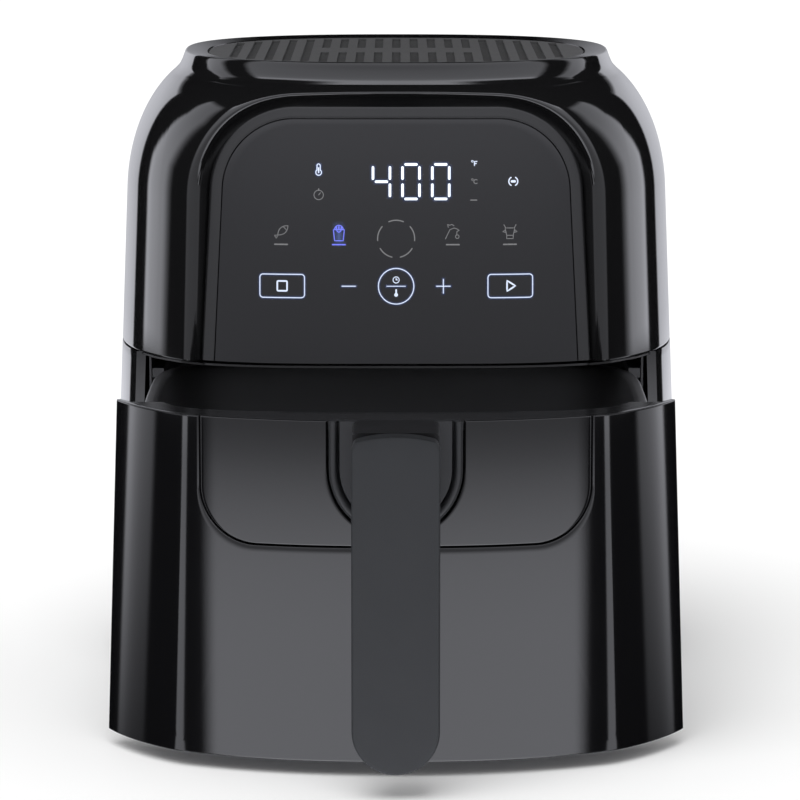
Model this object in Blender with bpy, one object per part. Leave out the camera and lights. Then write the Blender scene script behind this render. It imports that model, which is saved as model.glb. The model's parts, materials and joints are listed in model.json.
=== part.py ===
"""Basket air fryer, built from separate pieces. Metres, +Z up, the drawer slides out towards -Y.

The body frame, on the empty "body_frame", has Y = 0 near the body's middle. The world origin is at the middle
of the whole object's footprint, on the surface that the rubber feet stand on.
"""

import math

import bmesh
import bpy

# Body, outside.
POWER = 2.5  # exponent of the superellipse that is the body's plan
CENTRE_Y = 0.005  # middle of the plan in the body frame
FLOOR_Z = 0.007  # underside of the housing
LOWER_TOP_Z = 0.1654
SEAM_Z = 0.167
SEAM_HALF_WIDTH = 0.1415
SEAM_HALF_DEPTH = 0.126
SIDE_DRAFT = 0.0402
LOWER_DEPTH_DRAFT = 0.0063
SHOULDER_Z = 0.247  # where the rounded shoulder starts
SHOULDER_HEIGHT = 0.066
SHOULDER_WIDTH = 0.042
SHOULDER_DEPTH = 0.026
COLLAR_Z = 0.305  # foot of the collar
TOP_Z = 0.3157
WALL = 0.0035
JAMB_Y = -0.058  # where the lower housing ends and the drawer front begins
JAMB_WALL = 0.004
GAP = 0.0003  # between pieces that touch

# Control panel: an arch that leans back, a little bowed in plan.
PANEL_Y = -0.111
PANEL_BOW = 0.010
PANEL_BOW_AT = 0.0935
PANEL_LEAN = math.tan(math.radians(6))
BEZEL_HALF_WIDTH = 0.0955
BEZEL_TOP_Z = 0.2937
BEZEL_TAPER = 0.0484
BEZEL_CORNER = 0.042
BEZEL_THICK = 0.005
TOUCH_INSET = 0.0062
TOUCH_THICK = 0.002
RECESS_FLARE = 0.006

# Top vent.
GRILLE_Z = 0.3145
GRILLE_HALF_WIDTH = 0.096
GRILLE_HALF_DEPTH = 0.093
GRILLE_THICK = 0.0032
SLOT_PITCH = 0.0091
SLOT_WIDTH = 0.0043
SLOT_BREAK = 0.016  # half the unbroken band across the middle columns

# Drawer, given at its closed place.
DRAWER_OUT = 0.143  # how far the drawer stands open
DRAWER_TOP_Z = 0.1653
DRAWER_WALL = 0.003
FASCIA_HALF_WIDTH = 0.090
FASCIA_BOTTOM_Z = 0.1074
FASCIA_CORNER = 0.026
GROOVE = 0.0008
NICHE_HALF_WIDTH = 0.0315
NICHE_CENTRE_Z = 0.143
BASKET_HALF_WIDTH = 0.1162
BASKET_HALF_DEPTH = 0.0955
BASKET_CENTRE_Y = 0.006
BASKET_POWER = 4.0
BASKET_BOTTOM_Z = 0.020
BASKET_TAPER = 0.085
RIM_HALF_WIDTH = 0.1198
RIM_HALF_DEPTH = 0.0985
RIM_POWER = 4.3  # rounder corners than the wall, to clear the chamber liner
RIM_Z = 0.1603
STEEL = 0.0016
GRIP_HALF_WIDTH = 0.0198
GRIP_FRONT_Y = -0.169
GRIP_SPLIT_Y = -0.158
GRIP_BACK_Y = -0.1535
GRIP_BOTTOM_Z = 0.012
GRIP_TOP_Z = 0.167
GRIP_CROWN = 0.003

# Heater, fan and chamber.
AXIS_Y = 0.008  # the fan's axis
LINER_HALF_WIDTH = 0.1247
LINER_HALF_DEPTH = 0.112
LINER_POWER = 3.5
LINER_Z = 0.012
LINER_FRONT_Y = -0.056
REFLECTOR_R = 0.088
REFLECTOR_TOP_Z = 0.206
LEAD_R = 0.077  # where the heating element's two ends rise
SHAFT_R = 0.003
MOTOR_R = 0.030
MOTOR_Z = (0.2148, 0.252)

# Underneath and behind.
FEET = {"front": -0.043, "rear": 0.090}
FOOT_X = 0.100
BASE_Z = (0.0045, 0.0067)
GLAND_Z = 0.040
GLAND_OUT = 0.003
SWITCH_Z = 0.148
PLATE_Z = (0.033, 0.0346)

BACK_Y = CENTRE_Y + SEAM_HALF_DEPTH + (SEAM_Z - GLAND_Z) * LOWER_DEPTH_DRAFT + GLAND_OUT
BODY_SHIFT = (DRAWER_OUT - GRIP_FRONT_Y - BACK_Y) / 2

# Finish: colour, roughness, metallic.
FINISHES = {
    "gloss_black": ((0.010, 0.010, 0.011), 0.10, 0.0),
    "satin_black": ((0.020, 0.020, 0.021), 0.35, 0.0),
    "vent_grey": ((0.070, 0.070, 0.071), 0.55, 0.0),
    "bezel_grey": ((0.035, 0.036, 0.038), 0.30, 0.0),
    "touch_glass": ((0.030, 0.031, 0.034), 0.12, 0.0),
    "grip_charcoal": ((0.045, 0.046, 0.048), 0.60, 0.0),
    "bracket_grey": ((0.035, 0.038, 0.040), 0.40, 0.0),
    "coated_steel": ((0.030, 0.030, 0.031), 0.45, 0.3),
    "bright_steel": ((0.560, 0.560, 0.550), 0.30, 1.0),
    "element_steel": ((0.180, 0.165, 0.150), 0.45, 1.0),
    "rubber_black": ((0.020, 0.020, 0.020), 0.85, 0.0),
    "silicone": ((0.060, 0.060, 0.062), 0.70, 0.0),
    "board_green": ((0.020, 0.110, 0.050), 0.45, 0.0),
    "white_plastic": ((0.700, 0.690, 0.660), 0.50, 0.0),
}


def empty(name, parent, location):
    obj = bpy.data.objects.new(name, None)
    obj.parent = parent
    obj.location = location
    bpy.context.scene.collection.objects.link(obj)
    return obj


def dress(obj, finish):
    """Gives the object its own Principled material."""
    colour, roughness, metallic = FINISHES[finish]
    material = bpy.data.materials.new(f"{obj.name}_{finish}")
    material.use_nodes = True
    shader = material.node_tree.nodes["Principled BSDF"]
    shader.inputs["Base Color"].default_value = (*colour, 1)
    shader.inputs["Roughness"].default_value = roughness
    shader.inputs["Metallic"].default_value = metallic
    material.diffuse_color = (*colour, 1)
    obj.data.materials.append(material)


def solid(name, points, faces, parent, finish=None):
    """A closed mesh object. Without a finish it is a hidden helper for a Boolean."""
    mesh = bpy.data.meshes.new(name)
    mesh.from_pydata(points, [], faces)
    edit = bmesh.new()
    edit.from_mesh(mesh)
    bmesh.ops.recalc_face_normals(edit, faces=edit.faces)
    edit.to_mesh(mesh)
    edit.free()
    mesh.shade_smooth()
    mesh.set_sharp_from_angle(angle=math.radians(35))
    obj = bpy.data.objects.new(name, mesh)
    obj.parent = parent
    bpy.context.scene.collection.objects.link(obj)
    if finish:
        dress(obj, finish)
    else:
        obj.hide_render = True
        obj.display_type = "WIRE"
    return obj


def loft(name, rings, parent, finish=None, cyclic=False):
    """Joins rings of equally many points; capped at both ends, or closed on itself when cyclic."""
    size = len(rings[0])
    points = [point for ring in rings for point in ring]
    faces = []
    for i in range(len(rings) if cyclic else len(rings) - 1):
        j = (i + 1) % len(rings)
        for k in range(size):
            m = (k + 1) % size
            faces.append((i * size + k, i * size + m, j * size + m, j * size + k))
    if not cyclic:
        last = (len(rings) - 1) * size
        faces.append(tuple(range(size)))
        faces.append(tuple(range(last, last + size)))
    return solid(name, points, faces, parent, finish)


def blocks(name, boxes, parent, finish=None):
    """Axis-aligned boxes in one mesh, each given by its lowest and highest corner."""
    points = []
    faces = []
    for low, high in boxes:
        base = len(points)
        for z in (low[2], high[2]):
            points += [(low[0], low[1], z), (high[0], low[1], z), (high[0], high[1], z), (low[0], high[1], z)]
        for side in ((0, 1, 2, 3), (4, 5, 6, 7), (0, 1, 5, 4), (1, 2, 6, 5), (2, 3, 7, 6), (3, 0, 4, 7)):
            faces.append(tuple(base + corner for corner in side))
    return solid(name, points, faces, parent, finish)


def prism(name, outline, low, high, parent, finish=None, axis="y"):
    """An outline drawn in XZ and pushed along Y, or drawn in XY and pushed along Z."""
    if axis == "y":
        rings = [[(x, level, z) for x, z in outline] for level in (low, high)]
    else:
        rings = [[(x, y, level) for x, y in outline] for level in (low, high)]
    return loft(name, rings, parent, finish)


def turned(name, profile, parent, finish=None, centre=(0, 0, 0), axis="z", segments=24, ring=False):
    """Turns (radius, height) pairs about Z or Y. As a ring, the profile closes on itself."""
    rings = []
    for radius, height in profile:
        points = []
        for k in range(segments):
            angle = 2 * math.pi * k / segments
            across = radius * math.cos(angle)
            along = radius * math.sin(angle)
            local = (across, along, height) if axis == "z" else (across, height, along)
            points.append(tuple(centre[i] + local[i] for i in range(3)))
        rings.append(points)
    return loft(name, rings, parent, finish, cyclic=ring)


def boolean(obj, other, operation):
    modifier = obj.modifiers.new(other.name, "BOOLEAN")
    modifier.operation = operation
    modifier.object = other
    modifier.solver = "EXACT"


def cut(obj, *cutters):
    for cutter in cutters:
        boolean(obj, cutter, "DIFFERENCE")


def add(obj, *others):
    for other in others:
        boolean(obj, other, "UNION")


def keep(obj, region):
    boolean(obj, region, "INTERSECT")


def plan(a, b, z, power=POWER, centre=CENTRE_Y, segments=44):
    """One ring of the superellipse |x/a|^n + |(y-c)/b|^n = 1, at height z."""
    ring = []
    for k in range(segments):
        angle = 2 * math.pi * k / segments
        c = math.cos(angle)
        s = math.sin(angle)
        reach = (abs(c / a) ** power + abs(s / b) ** power) ** (-1 / power)
        ring.append((reach * c, centre + reach * s, z))
    return ring


def part_plan(a, b, z, cut_y, front, segments=26, power=POWER):
    """The stretch of a plan ahead of or behind the line y = cut_y, from its +X end to its -X end."""
    across = a * (1 - (abs(cut_y - CENTRE_Y) / b) ** power) ** (1 / power)
    start = math.atan2(cut_y - CENTRE_Y, across)
    end = -math.pi - start if front else math.pi - start
    points = []
    for k in range(segments + 1):
        angle = start + (end - start) * k / segments
        c = math.cos(angle)
        s = math.sin(angle)
        reach = (abs(c / a) ** power + abs(s / b) ** power) ** (-1 / power)
        points.append((reach * c, CENTRE_Y + reach * s, z))
    return points


def body_size(z):
    """Half width and half depth of the body's outside at height z, below the collar."""
    a = SEAM_HALF_WIDTH - SIDE_DRAFT * (z - SEAM_Z)
    if z < SEAM_Z:
        return a, SEAM_HALF_DEPTH - LOWER_DEPTH_DRAFT * (z - SEAM_Z)
    b = SEAM_HALF_DEPTH - SIDE_DRAFT * (z - SEAM_Z)
    if z > SHOULDER_Z:
        drop = 1 - math.sqrt(1 - ((z - SHOULDER_Z) / SHOULDER_HEIGHT) ** 2)
        a -= SHOULDER_WIDTH * drop
        b -= SHOULDER_DEPTH * drop
    return a, b


def shoulder_levels(steps=6):
    """Heights up the shoulder, closer together towards the collar."""
    last = math.asin((COLLAR_Z - SHOULDER_Z) / SHOULDER_HEIGHT)
    return [SHOULDER_Z + SHOULDER_HEIGHT * math.sin(last * k / steps) for k in range(steps + 1)]


def dome_rings(inset=0.0):
    """The outside of the dome from the seam to the collar, moved inwards by the inset."""
    rings = []
    for z in [SEAM_Z, *shoulder_levels()]:
        a, b = body_size(z)
        lift = max(0.0, (z - SHOULDER_Z) / SHOULDER_HEIGHT)
        side = math.sqrt(1 - lift * lift)
        rings.append(plan(a - inset * side, b - inset * side, z - inset * lift))
    return rings


def panel_y(x, z, depth=0.0):
    """The control panel's face, or a surface at a depth behind it."""
    bow = PANEL_BOW * abs(x / PANEL_BOW_AT) ** 4
    return PANEL_Y + bow + PANEL_LEAN * (z - SEAM_Z) + depth


def arch_points(inset, foot_z, steps=6):
    """Pairs of foot and top of the arch, from -X to +X. A negative inset makes it larger."""
    half = BEZEL_HALF_WIDTH - inset
    top = BEZEL_TOP_Z - inset
    corner = BEZEL_CORNER - inset
    spring_z = top - corner
    spring_x = half - BEZEL_TAPER * (spring_z - SEAM_Z)
    curve = []
    for k in range(steps + 1):
        angle = math.pi - math.pi / 2 * k / steps
        curve.append((corner * math.cos(angle) - (spring_x - corner), spring_z + corner * math.sin(angle)))
    curve += [(curve[-1][0] * share, top) for share in (0.5, 0.0)]
    curve += [(-x, z) for x, z in reversed(curve[:-1])]
    spread = (half - BEZEL_TAPER * (foot_z - SEAM_Z)) / spring_x
    return [(x * spread, x, z) for x, z in curve]


def arch(name, inset, front, back, foot_z, parent, finish=None):
    """An arch-shaped plate. front and back are depths behind the panel's face, or a fixed y as ("y", value)."""
    rings = []
    for foot_x, top_x, top_z in arch_points(inset, foot_z):
        ring = []
        for depth, corners in ((front, ((foot_x, foot_z), (top_x, top_z))), (back, ((top_x, top_z), (foot_x, foot_z)))):
            for x, z in corners:
                y = depth[1] if isinstance(depth, tuple) else panel_y(x, z, depth)
                ring.append((x, y, z))
        rings.append(ring)
    return loft(name, rings, parent, finish)


def recess_cutter(parent):
    """Opens the housing's front down to the bezel: flared ahead of the panel's face, straight behind it."""
    foot_z = SEAM_Z - 0.010
    near = arch_points(-GAP, foot_z)
    wide = arch_points(-RECESS_FLARE, foot_z)
    rings = []
    for (foot_x, top_x, top_z), (wide_foot, wide_x, wide_z) in zip(near, wide):
        rings.append(
            [
                (wide_foot * 1.06, -0.150, foot_z),
                (wide_x * 1.06, -0.150, wide_z + 0.020),
                (wide_x, panel_y(wide_x, wide_z, -RECESS_FLARE), wide_z),
                (top_x, panel_y(top_x, top_z), top_z),
                (top_x, panel_y(top_x, top_z, BEZEL_THICK + GAP), top_z),
                (foot_x, panel_y(foot_x, foot_z, BEZEL_THICK + GAP), foot_z),
                (foot_x, panel_y(foot_x, foot_z), foot_z),
                (wide_foot, panel_y(wide_foot, foot_z, -RECESS_FLARE), foot_z),
            ]
        )
    return loft("cut_panel_recess", rings, parent)


def screw(name, head, length, direction, parent, holders, head_r=0.0032, shank_r=0.0015):
    """A pan-head screw whose shank runs from head along +Z or +Y, with a clearance hole in each holder."""
    sign = -1 if direction.startswith("-") else 1
    axis = direction[-1]
    reach = {"z": 2, "y": 1}[axis]
    profile = [
        (head_r * 0.55, -0.0018),
        (head_r, -0.0010),
        (head_r, 0.0),
        (shank_r, 0.0),
        (shank_r, length - 0.001),
        (shank_r * 0.4, length),
    ]
    profile = [(radius, sign * height) for radius, height in profile]
    obj = turned(name, profile, parent, "bright_steel", centre=head, axis=axis, segments=10)
    ends = [sign * -0.0002, sign * (length + 0.0004)]
    hole = turned(f"cut_{name}", [(shank_r + 0.0003, end) for end in ends], parent, None, head, axis, 10)
    low = [place - 0.0004 for place in head]
    high = [place + 0.0004 for place in head]
    low[0] = head[0] - head_r * 0.7
    high[0] = head[0] + head_r * 0.7
    low[reach], high[reach] = sorted((head[reach] - sign * 0.0030, head[reach] - sign * 0.0010))
    cut(obj, blocks(f"cut_{name}_slot", [(low, high)], parent))
    for holder in holders:
        cut(holder, hole)
    return obj


def make_upper_housing(parent):
    rings = dome_rings()
    rings += [
        plan(0.1112, 0.1058, 0.308),
        plan(0.1081, 0.1050, 0.3150),
        plan(0.1073, 0.1042, TOP_Z),
        plan(0.1062, 0.1031, TOP_Z - 0.0002),
        plan(GRILLE_HALF_WIDTH + GAP, GRILLE_HALF_DEPTH + GAP, GRILLE_Z + 0.0001),
        plan(GRILLE_HALF_WIDTH + GAP, GRILLE_HALF_DEPTH + GAP, GRILLE_Z - GRILLE_THICK - GAP),
        plan(GRILLE_HALF_WIDTH - 0.004, GRILLE_HALF_DEPTH - 0.004, GRILLE_Z - GRILLE_THICK - GAP),
        plan(GRILLE_HALF_WIDTH - 0.004, GRILLE_HALF_DEPTH - 0.004, 0.3080),
        plan(0.1085, 0.1025, 0.3060),
    ]
    rings += dome_rings(inset=WALL)[:0:-1]
    flange_a, flange_b = body_size(SEAM_Z)
    rings += [
        plan(flange_a - WALL, flange_b - WALL, SEAM_Z + 0.003),
        plan(flange_a - 0.020, flange_b - 0.020, SEAM_Z + 0.003),
        plan(flange_a - 0.020, flange_b - 0.020, SEAM_Z),
    ]
    housing = loft("upper_housing", rings, parent, "gloss_black", cyclic=True)
    backing = arch("add_panel_backing", -0.008, ("y", -0.145), BEZEL_THICK + WALL, SEAM_Z + 0.0002, parent)
    keep(backing, loft("keep_dome", dome_rings(inset=0.0012), parent))
    add(housing, backing)
    window = blocks("cut_board_window", [((-0.079, -0.125, 0.180), (0.079, -0.085, 0.276))], parent)
    vent = blocks("cut_rear_vent", [((-0.0364, 0.100, 0.2046), (0.0364, 0.150, 0.2504))], parent)
    seat = blocks("cut_vent_seat", [((-0.0423, 0.1280, 0.1987), (0.0423, 0.150, 0.2563))], parent)
    cut(housing, recess_cutter(parent), window, vent, seat)
    return housing


def make_control_panel(parent):
    bezel = arch("control_bezel", 0.0, 0.0, BEZEL_THICK, SEAM_Z + GAP, parent, "bezel_grey")
    seat = arch("cut_touch_seat", TOUCH_INSET - GAP, -0.010, TOUCH_THICK + GAP, SEAM_Z - 0.005, parent)
    window = blocks("cut_mask_window", [((-0.074, -0.125, 0.184), (0.074, -0.085, 0.272))], parent)
    cut(bezel, seat, window)
    arch("touch_panel", TOUCH_INSET, 0.0, TOUCH_THICK, SEAM_Z + GAP, parent, "touch_glass")
    mask = leaning_plate("light_mask", 0.071, (0.187, 0.269), (0.0062, 0.0096), parent, "white_plastic")
    cells = []
    for x in (-0.062, -0.034, -0.006, 0.022, 0.050):
        for z in (0.192, 0.218, 0.244):
            cells.append(((x, -0.130, z), (x + 0.014, -0.080, z + 0.016)))
    cut(mask, blocks("cut_mask_cells", cells, parent))
    leaning_plate("display_board", 0.0735, (0.185, 0.271), (0.0100, 0.0116), parent, "board_green")


def leaning_plate(name, half_width, heights, depths, parent, finish):
    """A flat plate parallel to the middle of the control panel, between two depths behind its face."""
    rings = []
    for x in (-half_width, half_width):
        corners = [(heights[0], depths[0]), (heights[1], depths[0]), (heights[1], depths[1]), (heights[0], depths[1])]
        rings.append([(x, panel_y(0.0, z, depth), z) for z, depth in corners])
    return loft(name, rings, parent, finish)


def make_top_vent(parent):
    low = GRILLE_Z - GRILLE_THICK
    rings = [plan(GRILLE_HALF_WIDTH, GRILLE_HALF_DEPTH, z) for z in (low, GRILLE_Z)]
    grille = loft("top_vent_grille", rings, parent, "vent_grey")
    slots = []
    for column in range(-9, 10):
        x = column * SLOT_PITCH
        reach = GRILLE_HALF_DEPTH * (1 - (abs(x) / GRILLE_HALF_WIDTH) ** POWER) ** (1 / POWER) - 0.007
        if abs(column) < 5:
            stretches = [(-reach, -SLOT_BREAK), (SLOT_BREAK, reach)]
        else:
            stretches = [(-reach, reach)]
        for start, end in stretches:
            corner = (x - SLOT_WIDTH / 2, CENTRE_Y + start, low - 0.002)
            slots.append((corner, (x + SLOT_WIDTH / 2, CENTRE_Y + end, GRILLE_Z + 0.002)))
    cut(grille, blocks("cut_vent_slots", slots, parent))


def make_lower_housing(parent):
    outer = []
    inner = []
    for z in (FLOOR_Z, LOWER_TOP_Z):
        outer.append(part_plan(*body_size(z), z, JAMB_Y, front=False))
    for z in (FLOOR_Z + 0.0025, LOWER_TOP_Z + 0.006):
        a, b = body_size(z)
        wall = part_plan(a - JAMB_WALL, b - JAMB_WALL, z, JAMB_Y, front=False)
        ahead = [(sign * wall[0][0], JAMB_Y - 0.020, z) for sign in (-1, 1)]
        inner.append(wall + ahead)
    housing = loft("lower_housing", outer, parent, "gloss_black")
    cut(housing, loft("cut_lower_inside", inner, parent))
    gland = [(0.0068, 0.110), (0.0068, 0.150)]
    cut(housing, turned("cut_gland_hole", gland, parent, None, (0, 0, GLAND_Z), "y", 16))
    rings = []
    for z in BASE_Z:
        a, b = body_size(FLOOR_Z)
        rings.append(part_plan(a - 0.008, b - 0.008, z, JAMB_Y + 0.004, front=False))
    base = loft("base_plate", rings, parent, "satin_black")
    for side, x in (("left", -FOOT_X), ("right", FOOT_X)):
        for end, y in FEET.items():
            profile = [(0.0070, 0.0), (0.0085, 0.0008), (0.0090, 0.0030), (0.0090, BASE_Z[0] - GAP)]
            turned(f"foot_{end}_{side}", profile, parent, "rubber_black", (x, y, 0), segments=16)
            inward = 0.022 if x < 0 else -0.022
            screw(f"base_screw_{end}_{side}", (x + inward, y, BASE_Z[0] - GAP), 0.0065, "z", parent, [base, housing])
    return housing


def make_liner(parent):
    rings = []
    inner = []
    for z in (LINER_Z, LOWER_TOP_Z - 0.0004):
        half = part_plan(LINER_HALF_WIDTH, LINER_HALF_DEPTH, z, CENTRE_Y, False, 20, LINER_POWER)
        front = [(-LINER_HALF_WIDTH, LINER_FRONT_Y, z), (LINER_HALF_WIDTH, LINER_FRONT_Y, z)]
        rings.append(half + front)
    for z in (LINER_Z + 0.001, LOWER_TOP_Z + 0.005):
        half = part_plan(LINER_HALF_WIDTH - 0.001, LINER_HALF_DEPTH - 0.001, z, CENTRE_Y, False, 20, LINER_POWER)
        width = LINER_HALF_WIDTH - 0.001
        inner.append(half + [(-width, LINER_FRONT_Y - 0.020, z), (width, LINER_FRONT_Y - 0.020, z)])
    liner = loft("chamber_liner", rings, parent, "coated_steel")
    cut(liner, loft("cut_liner_inside", inner, parent))
    hole = [(0.0028, 0.100), (0.0028, 0.125)]
    cut(liner, turned("cut_plunger_hole", hole, parent, None, (0, 0, SWITCH_Z), "y", 12))
    for side, sign in (("left", -1), ("right", 1)):
        xs = sorted((sign * 0.1174, sign * (LINER_HALF_WIDTH - 0.0015)))
        box = ((xs[0], LINER_FRONT_Y, 0.1535), (xs[1], 0.030, RIM_Z - 0.0018 - GAP))
        blocks(f"drawer_runner_{side}", [box], parent, "coated_steel")


def make_divider(parent, recess):
    a, b = body_size(SEAM_Z)
    rings = [plan(a - 0.002, b - 0.002, z) for z in (LOWER_TOP_Z + GAP, SEAM_Z - GAP)]
    divider = loft("divider_plate", rings, parent, "satin_black")
    opening = [(REFLECTOR_R - 0.001, 0.160), (REFLECTOR_R - 0.001, 0.172)]
    cut(divider, turned("cut_fan_opening", opening, parent, None, (0, AXIS_Y, 0), segments=32), recess)


def make_heater(parent):
    foot_z = SEAM_Z + 0.0002
    r = REFLECTOR_R
    profile = [
        (0.092, foot_z),
        (0.092, foot_z + 0.001),
        (r, foot_z + 0.001),
        (r - 0.002, REFLECTOR_TOP_Z - 0.004),
        (r - 0.006, REFLECTOR_TOP_Z),
        (0.010, REFLECTOR_TOP_Z),
        (0.010, REFLECTOR_TOP_Z - 0.001),
        (r - 0.0065, REFLECTOR_TOP_Z - 0.001),
        (r - 0.003, REFLECTOR_TOP_Z - 0.0045),
        (r - 0.001, foot_z),
    ]
    centre = (0, AXIS_Y, 0)
    reflector = turned("heat_reflector", profile, parent, "bright_steel", centre, segments=32, ring=True)
    make_element(parent, reflector)
    disc = [(0.0855, SEAM_Z + 0.0016), (0.0855, SEAM_Z + 0.0028)]
    guard = turned("element_guard", disc, parent, "bright_steel", centre, segments=32)
    windows = []
    for column in range(-3, 3):
        for row in range(-3, 3):
            x = column * 0.026 + 0.0015
            y = row * 0.026 + 0.0015
            if math.hypot(x + 0.0115, y + 0.0115) < 0.066:
                corner = (x, AXIS_Y + y, SEAM_Z)
                windows.append((corner, (x + 0.023, AXIS_Y + y + 0.023, SEAM_Z + 0.005)))
    cut(guard, blocks("cut_guard_windows", windows, parent))
    probe_hole = [(0.0022, 0.190), (0.0022, 0.215)]
    cut(reflector, turned("cut_probe_hole", probe_hole, parent, None, (0.050, AXIS_Y + 0.058, 0), segments=10))
    probe = [(0.0015, 0.176), (0.0015, 0.2063), (0.0040, 0.2063), (0.0040, 0.2115)]
    turned("temperature_probe", probe, parent, "bright_steel", (0.050, AXIS_Y + 0.058, 0), segments=10)
    cutout = [(0.0085, REFLECTOR_TOP_Z + GAP), (0.0085, 0.2120), (0.0060, 0.2125), (0.0060, 0.2165)]
    turned("thermal_cutout", cutout, parent, "white_plastic", (-0.045, AXIS_Y - 0.040, 0), segments=16)


def make_element(parent, reflector):
    """A flat spiral of tube. Its inner end passes back under the turns, and both ends rise through the reflector."""
    points = [(LEAD_R, AXIS_Y, 0.214), (LEAD_R, AXIS_Y, 0.1735), (0.046, AXIS_Y, 0.1735)]
    steps = 40
    for k in range(steps + 1):
        angle = 2 * math.pi * 2.5 * k / steps
        radius = 0.040 + 0.036 * k / steps
        points.append((radius * math.cos(angle), AXIS_Y + radius * math.sin(angle), 0.1812))
    points += [(-LEAD_R, AXIS_Y - 0.004, 0.186), (-LEAD_R, AXIS_Y - 0.004, 0.214)]
    curve = bpy.data.curves.new("heating_element", "CURVE")
    curve.dimensions = "3D"
    curve.bevel_depth = 0.0030
    curve.bevel_resolution = 1
    curve.use_fill_caps = True
    spline = curve.splines.new("POLY")
    spline.points.add(len(points) - 1)
    for point, place in zip(spline.points, points):
        point.co = (*place, 1)
    element = bpy.data.objects.new("heating_element", curve)
    element.parent = parent
    bpy.context.scene.collection.objects.link(element)
    dress(element, "element_steel")
    for number, end in enumerate((points[0], points[-1])):
        hole = [(0.0042, 0.200), (0.0042, 0.210)]
        cut(reflector, turned(f"cut_element_hole_{number}", hole, parent, None, (end[0], end[1], 0), segments=10))


def make_motor(parent):
    outline = [(-0.062, 0.2066), (-0.057, 0.2066), (-0.057, 0.2120), (0.057, 0.2120)]
    outline += [(0.057, 0.2066), (0.062, 0.2066), (0.062, 0.2145), (-0.062, 0.2145)]
    bracket = prism("motor_bracket", outline, AXIS_Y - 0.014, AXIS_Y + 0.014, parent, "bright_steel")
    centre = (0, AXIS_Y, 0)
    hole = turned("cut_bracket_hole", [(0.006, 0.208), (0.006, 0.218)], parent, None, centre, segments=16)
    cut(bracket, hole)
    low, high = MOTOR_Z
    bore = SHAFT_R + 0.0005
    profile = [
        (bore, low),
        (MOTOR_R, low),
        (MOTOR_R, high - 0.006),
        (MOTOR_R - 0.004, high - 0.002),
        (0.010, high - 0.002),
        (0.010, high),
        (bore, high),
    ]
    motor = turned("fan_motor", profile, parent, "bright_steel", centre, segments=20, ring=True)
    for side, x in (("left", -0.022), ("right", 0.022)):
        screw(f"motor_screw_{side}", (x, AXIS_Y, 0.2120 - GAP), 0.010, "z", parent, [bracket, motor])


def make_rotor(parent):
    """Everything that turns with the shaft. The parent empty is on the shaft's axis."""
    turned("motor_shaft", [(SHAFT_R, 0.1850), (SHAFT_R, 0.2800)], parent, "bright_steel", segments=12)
    fan = make_fan("convection_fan", 0.066, (0.1915, 0.2035), 8, parent, "bright_steel")
    bore = (SHAFT_R + GAP) / math.cos(math.radians(30))
    nut = [(bore, 0.1865), (0.0065, 0.1865), (0.0065, 0.1910), (bore, 0.1910)]
    turned("fan_nut", nut, parent, "bright_steel", segments=6, ring=True)
    make_fan("cooling_fan", 0.042, (0.258, 0.272), 7, parent, "white_plastic")
    return fan


def make_fan(name, radius, heights, blades, parent, finish):
    """A disc and hub with radial blades that reach below the disc."""
    low, high = heights
    bore = SHAFT_R + GAP
    profile = [
        (bore, low),
        (0.009, low),
        (0.009, high - 0.0012),
        (radius, high - 0.0012),
        (radius, high),
        (bore, high),
    ]
    fan = turned(name, profile, parent, finish, segments=24, ring=True)
    points = []
    faces = []
    for k in range(blades):
        angle = 2 * math.pi * k / blades
        c = math.cos(angle)
        s = math.sin(angle)
        base = len(points)
        for z in (low, high - 0.0004):
            for along, across in ((0.0080, 0.0), (radius - 0.001, 0.010), (radius - 0.001, 0.0114), (0.0080, 0.0014)):
                points.append((along * c - across * s, along * s + across * c, z))
        for side in ((0, 1, 2, 3), (4, 5, 6, 7), (0, 1, 5, 4), (1, 2, 6, 5), (2, 3, 7, 6), (3, 0, 4, 7)):
            faces.append(tuple(base + corner for corner in side))
    add(fan, solid(f"add_{name}_blades", points, faces, parent))
    return fan


def make_rear(parent):
    """What is fitted to the back: air outlet, cord gland, terminal block, drawer switch, power board."""
    frame = ((-0.042, 0.1283, 0.1990), (0.042, 0.1330, 0.2560))
    sleeve = ((-0.0361, 0.1180, 0.2049), (0.0361, 0.1300, 0.2501))
    vent = blocks("rear_vent", [frame], parent, "satin_black")
    add(vent, blocks("add_vent_sleeve", [sleeve], parent))
    slots = [((-0.033, 0.110, 0.2080 + 0.0070 * k), (0.033, 0.140, 0.2120 + 0.0070 * k)) for k in range(6)]
    cut(vent, blocks("cut_vent_louvres", slots, parent))
    a, b = body_size(GLAND_Z)
    wall_y = CENTRE_Y + b
    profile = [
        (0.0040, wall_y - 0.008),
        (0.0064, wall_y - 0.008),
        (0.0064, wall_y + GAP),
        (0.0100, wall_y + GAP),
        (0.0085, wall_y + GLAND_OUT),
        (0.0040, wall_y + GLAND_OUT),
    ]
    turned("cord_gland", profile, parent, "rubber_black", (0, 0, GLAND_Z), "y", 16, ring=True)
    blocks("terminal_block", [((0.014, 0.1185, 0.030), (0.038, 0.1240, 0.048))], parent, "white_plastic")
    switch = blocks("drawer_switch", [((-0.010, 0.1180, 0.139), (0.010, 0.1262, 0.157))], parent, "satin_black")
    bore = [(0.0024, 0.117), (0.0024, 0.1253)]
    cut(switch, turned("cut_switch_bore", bore, parent, None, (0, 0, SWITCH_Z), "y", 12))
    board = blocks("power_board", [((-0.1096, -0.010, 0.180), (-0.1080, 0.056, 0.240))], parent, "board_green")
    parts = [
        ((-0.1082, 0.000, 0.186), (-0.0980, 0.022, 0.212)),
        ((-0.1082, 0.028, 0.190), (-0.1000, 0.048, 0.204)),
        ((-0.1082, 0.004, 0.218), (-0.1010, 0.044, 0.232)),
    ]
    add(board, blocks("add_board_parts", parts, parent))


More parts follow.
